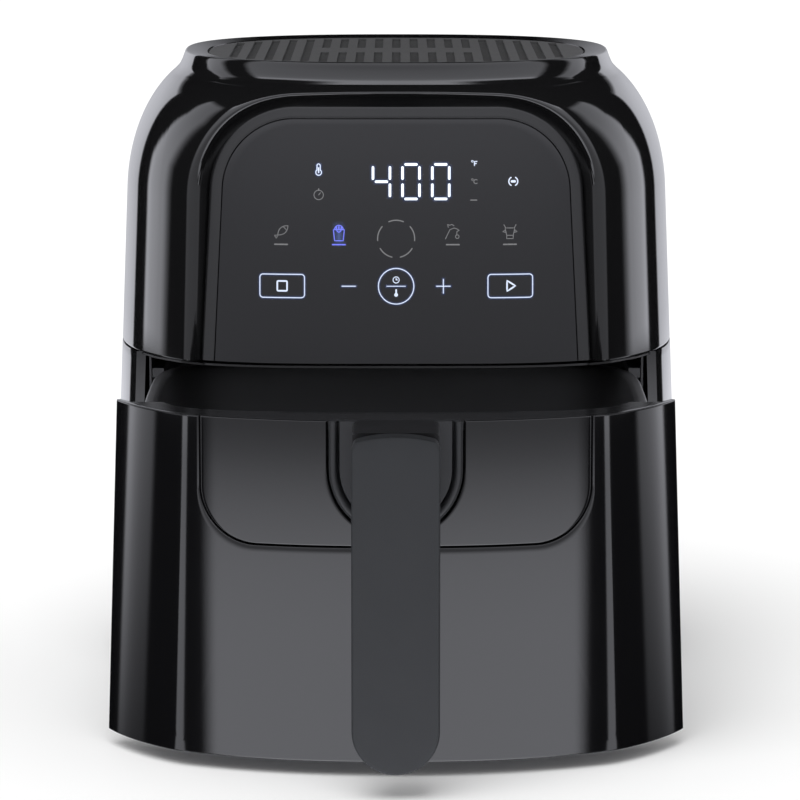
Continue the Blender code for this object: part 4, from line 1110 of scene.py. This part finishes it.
def makeDrawerFront():
    # Rows run from the fascia's groove to the crease, on to the front's border, and back along the inside.
    gap = fascia["groove"] / 2
    edge = fascia["edge"]
    r = front["round"]
    crease = polar(uOutline(front["creaseX"], front["creaseFoot"], front["creaseCorner"],
                            front["creaseLean"]))
    border = sidesOutline(r)
    inner = sidesOutline(0.0)
    outlines = [fasciaOutline(gap + edge * (1 - math.sin(t))) for t in quarter(0, 5)[::-1]]
    depths = [edge * (1 - math.cos(t)) for t in quarter(0, 5)[::-1]]
    outlines += between(fasciaOutline(gap + edge), crease, smoothSpread(0.03, 1, 34))
    outlines += between(crease, border, smoothSpread(0.03, 1, 40))
    depths += [0.0] * (34 + 40)
    outlines += [sidesOutline(r * (1 - math.sin(t))) for t in quarter(0.25, 4)]
    depths += [r * (1 - math.cos(t)) for t in quarter(0.25, 4)]
    outlines += [inner, *between(inner, crease, (0.5, 1.0)), fasciaOutline(gap + 0.004), fasciaOutline(gap)]
    depths += [front["wall"]] * 5
    skinPiece("drawer_shell", skinRows(outlines, depths), "glossFace", "drawer_front")


def smoothSpread(first, last, count):
    # Shares that are a little denser at both ends: s - 0.12 sin(2 pi s) / pi.
    s = np.linspace(0, 1, count)
    return first + (last - first) * (s - 0.12 * np.sin(2 * math.pi * s) / math.pi)


def nicheOutline(half):
    # The U round the handle's bracket: straight sides and a half circle.
    return uOutline(half, niche["centreZ"] - half, half)


def makeFascia():
    # Rows run from the groove in to the niche, and back along the inside.
    gap = fascia["groove"] / 2
    edge = fascia["edge"]
    outlines = [fasciaOutline(-gap - edge * (1 - math.sin(t))) for t in quarter(0, 5)[::-1]]
    depths = [edge * (1 - math.cos(t)) for t in quarter(0, 5)[::-1]]
    outlines += between(fasciaOutline(-gap - edge), polar(nicheOutline(niche["half"] + edge)),
                        smoothSpread(0.02, 1, 46))
    depths += [0.0] * 46
    outlines += [polar(nicheOutline(niche["half"] + edge * (1 - math.sin(t)))) for t in quarter(0.25, 4)]
    depths += [edge * (1 - math.cos(t)) for t in quarter(0.25, 4)]
    outlines += [polar(nicheOutline(niche["half"] + grow)) for grow in (0.0, 0.006)]
    outlines += [fasciaOutline(-gap - 0.006), fasciaOutline(-gap)]
    depths += [fascia["wall"]] * 4
    points = skinRows(outlines, depths)
    skinPiece("drawer_fascia_panel", points, "glossFace", "drawer_fascia")


makeDrawerFront()
makeFascia()
print("drawer front built")


# The grip is two shells split across its thickness; y values are in the drawer's own place.
grip = {"half": 0.0198, "front": -0.169, "split": -0.158, "back": -0.1535, "bottom": 0.012, "top": 0.1658,
        "crown": 0.003, "crownCorner": 0.0030, "frontEdge": 0.0011, "backEdge": 0.0018, "backInset": 0.0006,
        "topCore": 0.012, "sideTop": 0.150}


bracket = {"gap": 0.0009, "ridge": 0.0010, "ridgeRise": 0.0007, "ridgeAt": 0.0020, "ridgeHalf": 0.0016,
           "groove": 0.0032, "grooveFrom": 0.0032, "grooveTo": 0.0040, "plateFrom": 0.0049, "plate": 0.0014,
           "front": 0.0022, "back": 0.0066, "topGap": 0.0004}


# The arm's stations, bracket to grip: y, half width, bottom, top, and how far the top is hollowed.
arm = {"stations": [(-0.1185, 0.0197, 0.1335, 0.1652, 0.0), (-0.1240, 0.0197, 0.1385, 0.1651, 0.0002),
                    (-0.1340, 0.0196, 0.1435, 0.1650, 0.0004), (-0.1450, 0.0195, 0.1465, 0.1650, 0.0004),
                    (-0.1530, 0.0193, 0.1480, 0.1650, 0.0002)],
       "corner": 0.16, "hollowWidth": 0.86}


def bracketDepth(inset):
    # Across the bracket from its rim: a round ridge, a thin groove, then the flat plate.
    ahead = np.clip(1 - ((inset - bracket["ridgeAt"]) / bracket["ridgeHalf"]) ** 2, 0, 1) ** 0.5
    ridge = bracket["ridge"] - bracket["ridgeRise"] * ahead
    rim = smoothStep(inset, bracket["grooveFrom"], bracket["grooveTo"])
    beyond = 1 - smoothStep(inset, bracket["grooveTo"], bracket["plateFrom"])
    plate = bracket["plate"] + (bracket["groove"] - bracket["plate"]) * beyond
    return np.where(inset < bracket["grooveTo"], ridge * (1 - rim) + bracket["groove"] * rim, plate)


def makeBracket():
    # Rows run from the rim over the front to the middle line, then back out along the plain back.
    half = niche["half"] - bracket["gap"]
    seam = 0.0003
    insets = np.concatenate([np.linspace(0, 0.0055, 26), np.linspace(0.0065, half - seam, 22)])
    rim = polar(nicheOutline(half))
    middle = polar(nicheOutline(half - seam) * [0, 1])
    outlines = [rim, *(polar(nicheOutline(half - inset)) for inset in insets), middle, middle, rim]
    depths = [bracket["front"], *bracketDepth(insets)]
    depths += [depths[-1], bracket["back"], bracket["back"]]
    top = front["topZ"] - bracket["topGap"]
    points = []
    for outline, depth in zip(outlines, depths):
        points.append(frontPoint(outline[:, 0], np.minimum(outline[:, 1], top), depth))
    rows, count = len(points), len(points[0])
    faces = gridFaces(rows, count, closeRows=True, closeColumns=False)
    makePiece("handle_bracket_plate", points, faces, "bracketGrey", "drawer",
              ["handle_bracket"], caps=sideCaps(rows, count))


def makeArm():
    # The bridge: rounded-rectangle sections carried from the bracket to the grip, hollowed along the top.
    y, half, low, high, hollow = smoothCurve(arm["stations"], 8).T[:, :, None]
    outline = roundedBox((0, 0), 1.0, 1.0, arm["corner"], 7)
    x = outline[None, :, 0] * half
    z = (low + high) / 2 + outline[None, :, 1] * (high - low) / 2
    upper = outline[None, :, 1] > 0.6
    z = z - hollow * np.clip(1 - (x / (half * arm["hollowWidth"])) ** 2, 0, 1) * upper
    points = np.stack([x, np.broadcast_to(drawerY + y, x.shape), z], -1)
    rows, count = points.shape[:2]
    caps = [np.arange(count), np.arange(count)[::-1] + (rows - 1) * count]
    # Its near-black finish paints the shade on the bridge's top into the arm's colour.
    makePiece("handle_arm", points, gridFaces(rows, count), "armBlack", "drawer", caps=caps)


def gripOutline(inset, steps=28):
    # The grip from the front: a half-round foot, straight sides, a gently crowned top with small corners.
    half = grip["half"] - inset
    foot = grip["bottom"] + grip["half"]
    turn = np.linspace(0, -math.pi, steps)
    low = np.stack([half * np.cos(turn), foot + half * np.sin(turn)], -1)
    side = np.linspace(foot, grip["sideTop"], 40)[1:]
    left = np.stack([np.full(len(side), -half), side], -1)
    s = np.linspace(-1, 1, 41)
    corner = grip["crownCorner"] * np.clip((np.abs(s) - 0.86) / 0.14, 0, 1) ** 3
    crown = grip["top"] - inset - grip["crown"] * np.abs(s) ** 2.2 - corner
    return np.vstack([low, left, np.stack([half * s, crown], -1), left[::-1] * [-1, 1]])


def drawnIn(outline, share):
    # Draws the grip's outline in to the middle line between its foot and its top.
    foot = grip["bottom"] + grip["half"]
    core = np.clip(outline[:, 1], foot, grip["top"] - grip["topCore"])
    return np.stack([outline[:, 0] * share, core + (outline[:, 1] - core) * share], -1)


def makeGrip():
    # Rows: middle of the front face out to a soft edge, round the side to the split, and back to the middle.
    edge = grip["frontEdge"]
    fall = 0.0003  # how far the face falls away at its edge, and the bevel where the shells meet
    face, split, back = grip["front"], grip["split"], grip["back"]
    rows = [(drawnIn(gripOutline(edge), share), face + fall * share**4) for share in np.linspace(0, 1, 14)]
    rows += [(gripOutline(edge * (1 - math.sin(t))), face + fall + edge * (1 - math.cos(t)))
             for t in quarter(0.12, 8)]
    rows += [(gripOutline(0.0), split - 0.0008), (gripOutline(fall), split - fall)]
    rows += [(drawnIn(gripOutline(fall), share), split - fall) for share in (0.6, 0.0)]
    gripShell("grip_front", rows, "handle_grip")
    inset = grip["backInset"]
    edge = grip["backEdge"]
    rows = [(drawnIn(gripOutline(inset + fall), share), split) for share in (0.0, 0.6, 1.0)]
    rows += [(gripOutline(inset), split + 0.0004), (gripOutline(inset), back - edge)]
    rows += [(gripOutline(inset + edge * (1 - math.cos(t))), back - edge * (1 - math.sin(t)))
             for t in quarter(0.2, 6)]
    rows += [(drawnIn(gripOutline(inset + edge), share), back) for share in (0.7, 0.35, 0.0)]
    gripShell("grip_back", rows, "handle_back")


def gripShell(name, rows, node):
    # Each row's outline upright at its own y.
    points = []
    for outline, y in rows:
        points.append(np.stack([outline[:, 0], np.full(len(outline), drawerY + y), outline[:, 1]], -1))
    faces = gridFaces(len(rows), len(points[0]))
    makePiece(name, points, faces, "gripCharcoal", "drawer", [node])


makeBracket()
makeArm()
makeGrip()
print("handle built")


basket = {"halfWidth": 0.1155, "halfDepth": 0.0950, "centreY": 0.006, "power": 4.6, "rearPower": 4.0,
          "bottom": 0.020, "taper": 0.085, "steel": 0.0016, "footRound": 0.009, "flare": 0.0025,
          "rimWidth": 0.1198, "rimDepth": 0.0985, "rimPower": 5.0, "rimZ": 0.1603, "roll": 0.0009,
          "columns": 192}


def basketTurns(count):
    # Angles about the basket's axis, and which of them lie in the front half, where the superellipse is
    # squarer.
    turn = np.linspace(0, 2 * math.pi, count, endpoint=False)
    return turn, np.sin(turn) < -1e-9


def basketRing(a, b, power, z):
    # A level ring of the pan.
    turn, ahead = basketTurns(basket["columns"])
    x, y = superellipse(turn, a, b, np.where(ahead, power, basket["rearPower"]))
    return np.stack([x, drawerY + basket["centreY"] + y, np.full(len(x), z)], -1)


def basketWall(z, inset):
    # Half width and half depth of the tapered wall.
    taper = basket["taper"] * (basket["rimZ"] - z)
    return basket["halfWidth"] - taper - inset, basket["halfDepth"] - taper - inset


def wallRing(z, inset, at=None):
    # A ring on the wall's line, or on the line that the wall has at another height.
    return basketRing(*basketWall(z if at is None else at, inset), basket["power"], z)


def floorRings(z, inset, shares):
    # Rings of the floor, drawn in towards its middle.
    a, b = basketWall(z, inset)
    return [basketRing(a * share + 1e-9, b * share + 1e-9, basket["power"], z) for share in shares]


def makeBasket():
    # A pressed pan: floor, rounded foot, tapered wall, rolled rim, and the same again outside.
    steel, bend, flare, roll = (basket[key] for key in ("steel", "footRound", "flare", "roll"))
    top, low = basket["rimZ"], basket["bottom"]
    floor = low + steel
    rows = floorRings(floor, steel + bend, (0.0, 0.3, 0.6, 0.85, 1.0))
    rows += [wallRing(floor + bend * (1 - math.cos(t)), steel + bend * (1 - math.sin(t)))
             for t in quarter(0.2, 6)]
    rows += [wallRing(z, steel) for z in np.linspace(floor + 0.015, top - 0.004, 10)]
    rows += [wallRing(top - flare * (1 - math.sin(t)), steel - flare * (1 - math.cos(t)), top)
             for t in quarter(0, 6)]
    for t in np.linspace(0, 1, 7) * math.pi:
        out = roll * (math.sin(t) - 1)
        z = top - roll * (1 - math.cos(t))
        rows.append(basketRing(basket["rimWidth"] + out, basket["rimDepth"] + out, basket["rimPower"], z))
    rows += [wallRing(z, 0.0) for z in (top - 2 * roll, *np.linspace(top - 0.006, floor + 0.008, 8))]
    rows += [wallRing(low + bend * (1 - math.sin(t)), bend * (1 - math.cos(t))) for t in quarter(0, 5)]
    rows += floorRings(low, bend, (0.6, 0.0))
    points = np.stack(rows)
    faces = gridFaces(len(rows), points.shape[1])
    makePiece("basket_pan", points, faces, "coatedSteel", "drawer", ["basket"], merge=3e-6)


crisper = {"edge": 0.0006, "pitch": 0.023, "hole": 0.0045, "columns": 4, "rows": 3, "slot": (0.018, 0.008),
           "slotCorner": 0.0078}


def makeCrisper():
    # A flat plate with a rounded edge, round holes on a square pitch and a finger slot.
    low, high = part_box("crisper_plate")
    middle = ((low.x + high.x) / 2, (low.y + high.y) / 2)
    a = (high.x - low.x) / 2
    turn, ahead = basketTurns(160)
    x, y = superellipse(turn, a, (high.y - low.y) / 2, np.where(ahead, basket["power"], basket["rearPower"]))
    edge = crisper["edge"]
    rows = [(0.0, low.z), (0.97, low.z), (1 - edge / a, low.z), (1.0, low.z + edge), (1.0, high.z - edge),
            (1 - edge / a, high.z), (0.97, high.z), (0.0, high.z)]
    points = np.stack([
        np.stack([middle[0] + x * share, middle[1] + y * share, np.full(len(x), z)], -1) for share, z in rows
    ])
    faces = gridFaces(len(rows), len(x))
    piece = makePiece("crisper", points, faces, "coatedSteel", "crisper", ["crisper_plate"])
    holes = []
    r = crisper["hole"]
    for column in range(-crisper["columns"], crisper["columns"] + 1):
        for row in range(-crisper["rows"], crisper["rows"] + 1):
            corner = abs(column) == crisper["columns"] and abs(row) == crisper["rows"]
            underSlot = abs(column) < 2 and row == 0
            if not corner and not underSlot:
                centre = (middle[0] + column * crisper["pitch"], middle[1] + row * crisper["pitch"])
                holes.append(roundedBox(centre, r, r, r - 0.00001, 5))
    below, above = low.z - 0.003, high.z + 0.003
    cutAway(piece, *prisms(holes, below, above, "z"))
    slot = roundedBox(middle, *crisper["slot"], crisper["slotCorner"], 6)
    cutAway(piece, *prisms([slot], below, above, "z"))
    dressPiece(piece, "coatedSteel", "crisper", angle=30)


# The rim closes the drawer's top between its front wall and the basket's mouth.
rim = {"below": 0.0012, "over": 0.0003, "behindWall": 0.0004, "behindJamb": 0.0004, "overlap": 0.0012,
       "columns": 220}


def makeRim():
    # A band from the skin's inside to the basket's wall: rounded at both edges, flat underneath.
    top, low = front["topZ"] - rim["below"], basket["rimZ"] + rim["over"]
    jamb = front["jamb"] - rim["behindJamb"]
    depth = front["wall"] + rim["behindWall"]
    start = float(jambTurn(*frontSize(top, depth), jamb))
    turn = start + (-math.pi - 2 * start) * np.linspace(0, 1, rim["columns"])
    outer = frontPoint(turn, np.full(len(turn), top), depth)
    x, y = superellipse(turn, basket["halfWidth"] - rim["overlap"], basket["halfDepth"] - rim["overlap"],
                        basket["power"])
    y = np.minimum(drawerY + basket["centreY"] + y, drawerY + jamb)
    inner = np.stack([x, y, np.full(len(x), top)], -1)
    rows = []
    for share, z in ((0.0, top - 0.0004), (0.006, top), (0.25, top), (0.5, top), (0.75, top), (0.975, top),
                     (0.99, top - 0.0003), (1.0, top - 0.0010), (1.0, low), (0.0, low)):
        row = outer + (inner - outer) * share
        row[:, 2] = z
        rows.append(row)
    skinPiece("drawer_rim", np.stack(rows), "capBlack", "drawer_cap")


makeBasket()
makeCrisper()
makeRim()
print("basket built")


# Insets of the frame's section and how far each lies from its back; then one louvre's section, back to front.
rearVent = {
    "frame": [(0.0086, 0.0014), (0.0080, 0.0006), (0.0070, 0.0003), (0.0030, 0.0001), (0.0012, 0.0004),
              (0.0003, 0.0014), (0.0, 0.0046), (0.0058, 0.0046)],
    "corner": 0.0062, "leastCorner": 0.0012,
    "louvre": [(0.0, 0.0), (0.0012, 0.0004), (0.0095, 0.0052), (0.0098, 0.0062), (0.0090, 0.0064),
               (0.0004, 0.0016)],
    "louvres": 7, "pitch": 0.0064, "first": -0.0224, "behind": 0.0018, "sideGap": 0.0080,
}


def makeRearVent():
    # A framed outlet: a rounded flange and a sleeve behind it.
    low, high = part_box("rear_vent")
    middle = ((low.x + high.x) / 2, (low.z + high.z) / 2)
    half = ((high.x - low.x) / 2, (high.z - low.z) / 2)
    section = [(rearVent["frame"][0][0], low.y)]
    section += [(inset, high.y - behind) for inset, behind in rearVent["frame"]]
    section.append((rearVent["frame"][-1][0], low.y))
    rows = []
    for inset, y in section:
        corner = max(rearVent["corner"] - inset, rearVent["leastCorner"])
        outline = roundedBox(middle, half[0] - inset, half[1] - inset, corner, 6)
        rows.append(np.stack([outline[:, 0], np.full(len(outline), y), outline[:, 1]], -1))
    points = np.stack(rows)
    faces = gridFaces(len(rows), points.shape[1], closeRows=True)
    makePiece("vent_frame", points, faces, "satinBlack", "housing", ["rear_vent"])
    makeLouvres(middle, half[0] - rearVent["sideGap"], high.y - rearVent["behind"])


def makeLouvres(middle, span, back):
    # Sloping louvres: one section carried across the outlet for each.
    section = np.array(rearVent["louvre"])
    size = len(section)
    points = []
    faces = []
    caps = []
    for k in range(rearVent["louvres"]):
        z = middle[1] + rearVent["first"] + rearVent["pitch"] * k
        for x in (middle[0] - span, middle[0] + span):
            points.append(np.stack([np.full(size, x), back - section[:, 0], z + section[:, 1]], -1))
        base = 2 * k * size
        faces.append(gridFaces(2, size) + base)
        caps += [np.arange(size) + base, np.arange(size)[::-1] + base + size]
    makePiece("vent_louvres", np.vstack(points), np.vstack(faces), "satinBlack", "housing",
              caps=caps)


# Radius and depth behind the outer face.
gland = {"bore": 0.0040, "sleeve": 0.0064, "flange": [(0.0100, 0.0028), (0.0100, 0.0016), (0.0096, 0.0012),
         (0.0086, 0.0010), (0.0078, 0.0010), (0.0070, 0.0004), (0.0060, 0), (0.0050, 0), (0.0042, 0.0006),
         (0.0040, 0.0016)]}


def makeGland():
    # A moulded cord gland: a stepped flange with a rounded lip round the bore.
    low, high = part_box("cord_gland")
    centre = ((low.x + high.x) / 2, 0, (low.z + high.z) / 2)
    profile = [(gland["bore"], low.y), (gland["sleeve"], low.y),
               (gland["sleeve"], high.y - gland["flange"][0][1])]
    profile += [(radius, high.y - behind) for radius, behind in gland["flange"]]
    points, _ = turned(profile, centre, "y", 64)
    makePiece("gland", points, gridFaces(len(profile), 64, closeRows=True), "rubberBlack", "housing",
              ["cord_gland"])


# Radius and height of the sole, from the dimple underneath out to its edge.
sole = {"profile": [(0.0, 0.0007), (0.0040, 0.0007), (0.0047, 0.0001), (0.0052, 0.0), (0.0076, 0.0),
                    (0.0084, 0.0005), (0.0088, 0.0013)], "sideZ": 0.0026, "topEdge": 0.0003}


def makeFeet():
    # Rubber feet with a rolled sole edge and a shallow dimple underneath.
    for place in ("front_left", "front_right", "rear_left", "rear_right"):
        low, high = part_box("foot_" + place)
        centre = ((low.x + high.x) / 2, (low.y + high.y) / 2, 0)
        r = (high.x - low.x) / 2
        top = high.z
        edge = sole["topEdge"]
        profile = sole["profile"] + [(r, sole["sideZ"]), (r, top - edge), (r - edge, top), (0.0, top)]
        points, faces = turned(profile, centre, "z", 48)
        makePiece("sole_" + place, points, faces, "rubberBlack", "housing", ["foot_" + place])


makeRearVent()
makeGland()
makeFeet()
print("back and feet built")


finishOfNode = {
    "brightSteel": ["heat_reflector", "element_guard", "temperature_probe", "motor_bracket", "fan_motor",
                    "motor_shaft", "convection_fan", "fan_nut", "grip_screw", "handle_screw_left",
                    "handle_screw_right", "motor_screw_left", "motor_screw_right", "base_screw_front_left",
                    "base_screw_front_right", "base_screw_rear_left", "base_screw_rear_right"],
    "coatedSteel": ["chamber_liner", "drawer_runner_left", "drawer_runner_right"],
    "elementSteel": ["heating_element"],
    "satinBlack": ["divider_plate", "base_plate", "drawer_switch", "switch_tab", "drawer_inner_cover"],
    "boardGreen": ["display_board", "power_board"],
    "whitePlastic": ["light_mask", "thermal_cutout", "cooling_fan", "terminal_block", "switch_plunger"],
    "silicone": ["plate_foot_front_left", "plate_foot_front_right", "plate_foot_rear_left",
                 "plate_foot_rear_right"],
}
for finish, names in finishOfNode.items():
    for name in names:
        for place in frame["nodes"][name].material_slots:
            place.material = materials[finish]
print("frame pieces finished")


studio = {
    "radius": 0.80, "low": -0.70, "high": 1.25, "leanFrom": 0.32, "leanOver": 0.28,
    "tint": (0.975, 0.985, 1.06),
    "floor": 0.97, "floorSize": 40, "evenTone": 0.80, "evenStrength": 0.85,
    "lampStrength": 1.6, "lampAngle": 50, "lampTurn": (24, -10, 0),
}
# Each soft box: azimuths from the front (degrees, mirrored) with the glow at each, and heights (metres)
# with the share of that glow at each. Lean turns a box forwards with height, in degrees per metre. The low
# boxes show in the drawer, the high ones in the dome.
softBoxes = {
    "frontLow": {"turn": (0, 40, 43.5), "glow": (1, 1, 0),
                 "high": (-0.70, -0.30, -0.15, -0.06, -0.02, 0.0, 0.02, 0.035, 0.05, 0.06, 0.075, 0.10),
                 "share": (4.6, 4.2, 2.85, 2.75, 2.55, 2.25, 1.85, 1.45, 0.95, 0.75, 0.5, 0.0)},
    "frontHigh": {"turn": (0, 80, 86), "glow": (1, 1, 0),
                  "high": (0.07, 0.10, 0.20, 0.30, 0.36, 0.41, 0.47, 0.55, 0.65, 0.75, 0.80, 0.86, 0.93,
                           0.97),
                  "share": (0, 0.75, 0.80, 0.86, 1.15, 1.5, 1.7, 1.75, 1.9, 2.1, 2.5, 3.8, 4.4, 0),
                  "lean": 38},
    "crease": {"turn": (50, 52, 64, 66), "glow": (0, 1, 1, 0),
               "high": (-0.60, -0.15, 0.04, 0.08, 0.10), "share": (1.9, 1.9, 2.0, 2.9, 0)},
    "sideLow": {"turn": (87.5, 90, 94, 98, 102, 105, 108, 110),
                "glow": (0, 0.8, 0.9, 1.05, 1.35, 1.8, 2.0, 0),
                "high": (-0.16, -0.09, 0.04, 0.08, 0.10), "share": (0.17, 0.44, 1.0, 1.2, 0)},
    "sideHigh": {"turn": (104, 107, 109, 111, 115, 121, 125, 127),
                 "glow": (0, 0.85, 1.7, 2.2, 2.15, 2.25, 2.5, 0),
                 "high": (0.085, 0.105, 0.20, 0.35, 0.50, 0.60, 0.86, 0.94),
                 "share": (0, 0.95, 1.0, 0.97, 0.84, 0.75, 0.68, 0), "lean": 46},
    "back": {"turn": (138, 139.5, 145, 150, 156, 159), "glow": (0, 1.5, 1.35, 1.15, 0.92, 0),
             "high": (-0.70, 0.04, 0.10, 0.20, 0.40, 0.56, 0.60),
             "share": (1.1, 1.25, 1.0, 1.0, 1.22, 1.2, 0)},
    "farBack": {"turn": (156, 159, 165, 170, 173.5), "glow": (0, 0.80, 0.55, 0.35, 0),
                "high": (-0.70, 0.04, 0.10, 0.40, 0.56, 0.85, 1.0),
                "share": (1.1, 1.25, 1.0, 1.2, 1.1, 0.9, 0)},
}


def softBoxGrid():
    # A round screen closed above and below: azimuth and height at each point, its place, and its wall's rows.
    turn = np.radians(np.arange(0, 360, 0.75))[None, :]
    wall = np.concatenate([np.arange(studio["low"], -0.16, 0.06), np.arange(-0.16, 0.14, 0.01),
                           np.arange(0.14, studio["high"], 0.03)])
    over = np.linspace(0, math.pi / 2, 8)[1:]
    radius = np.concatenate([[0.001, 0.3], np.full(len(wall), studio["radius"]),
                             studio["radius"] * np.cos(over) + 0.001])[:, None]
    height = np.concatenate([[wall[0], wall[0]], wall, wall[-1] + 0.4 * np.sin(over)])[:, None]
    x = -radius * np.sin(turn)
    points = np.stack([x, -radius * np.cos(turn), np.broadcast_to(height, x.shape)], -1)
    side = np.degrees(np.minimum(turn, 2 * math.pi - turn)) * np.ones_like(height)
    return side, height, points, len(wall)


def glowMaterial():
    # Shines as strongly as each point's glow says.
    material = bpy.data.materials.new("softBoxGlow")
    material.use_nodes = True
    nodes = material.node_tree.nodes
    nodes.clear()
    shine = nodes.new("ShaderNodeEmission")
    shine.inputs["Color"].default_value = (*studio["tint"], 1)
    read = nodes.new("ShaderNodeAttribute")
    read.attribute_name = "glow"
    result = nodes.new("ShaderNodeOutputMaterial")
    material.node_tree.links.new(read.outputs["Fac"], shine.inputs["Strength"])
    material.node_tree.links.new(shine.outputs[0], result.inputs["Surface"])
    material.cycles.emission_sampling = "NONE"
    return material


def makeSoftBoxes():
    # The screen is seen only in reflections: glow = sum over the boxes of glow(azimuth) share(height).
    side, height, points, wallRows = softBoxGrid()
    glow = np.zeros(side.shape)
    for box in softBoxes.values():
        tilt = box.get("lean", 0) * np.clip(height - studio["leanFrom"], 0, studio["leanOver"])
        across = np.interp(side + tilt, box["turn"], box["glow"], left=0 if box["turn"][0] else None)
        glow += across * np.interp(height, box["high"], box["share"])
    glow[0] = 0
    glow[wallRows + 2 :] = 0
    mesh = newMesh("soft_boxes", points, gridFaces(*side.shape))
    attribute = mesh.attributes.new("glow", "FLOAT", "POINT")
    attribute.data.foreach_set("value", glow.ravel().astype(np.float32))
    mesh.materials.append(glowMaterial())
    screen = linkObject("soft_boxes", mesh)
    screen.visible_camera = False
    screen.visible_diffuse = False
    screen.visible_transmission = False
    screen.visible_shadow = False
    screen.visible_volume_scatter = False


def makeFloor():
    # A plain pale floor, left out of the reflections.
    reach = studio["floorSize"]
    corners = [(-reach, -reach, 0), (reach, -reach, 0), (reach, reach, 0), (-reach, reach, 0)]
    mesh = newMesh("floor", corners, [(0, 1, 2, 3)])
    material, _, shader = newMaterial("paleFloor")
    shader.inputs["Base Color"].default_value = (studio["floor"], studio["floor"], studio["floor"], 1)
    shader.inputs["Roughness"].default_value = 0.9
    shader.inputs["Specular IOR Level"].default_value = 0.0
    mesh.materials.append(material)
    floor = linkObject("floor", mesh)
    floor.visible_glossy = False


def makeWorld():
    # White where the camera or a reflection looks, and an even grey light for everything else.
    world = bpy.data.worlds.new("studio")
    bpy.context.scene.world = world
    world.use_nodes = True
    tree = world.node_tree
    nodes = tree.nodes
    nodes.clear()
    path = nodes.new("ShaderNodeLightPath")
    seen = mathNode(tree, "MAXIMUM", path.outputs["Is Camera Ray"], path.outputs["Is Glossy Ray"])
    seen = mathNode(tree, "MAXIMUM", seen, path.outputs["Is Transmission Ray"])
    even = nodes.new("ShaderNodeBackground")
    even.inputs["Color"].default_value = (studio["evenTone"], studio["evenTone"], studio["evenTone"], 1)
    even.inputs["Strength"].default_value = studio["evenStrength"]
    white = nodes.new("ShaderNodeBackground")
    white.inputs["Color"].default_value = (1, 1, 1, 1)
    white.inputs["Strength"].default_value = 1.0
    mix = nodes.new("ShaderNodeMixShader")
    result = nodes.new("ShaderNodeOutputWorld")
    tree.links.new(seen, mix.inputs["Fac"])
    tree.links.new(even.outputs[0], mix.inputs[1])
    tree.links.new(white.outputs[0], mix.inputs[2])
    tree.links.new(mix.outputs[0], result.inputs["Surface"])


def makeLamp():
    # One broad overhead light, out of the reflections.
    data = bpy.data.lights.new("overhead", "SUN")
    data.energy = studio["lampStrength"]
    data.angle = math.radians(studio["lampAngle"])
    lamp = linkObject("overhead", data)
    lamp.rotation_euler = [math.radians(turn) for turn in studio["lampTurn"]]
    lamp.visible_glossy = False


makeSoftBoxes()
makeFloor()
makeWorld()
makeLamp()
bpy.context.scene.view_settings.view_transform = "Standard"
print("studio built")
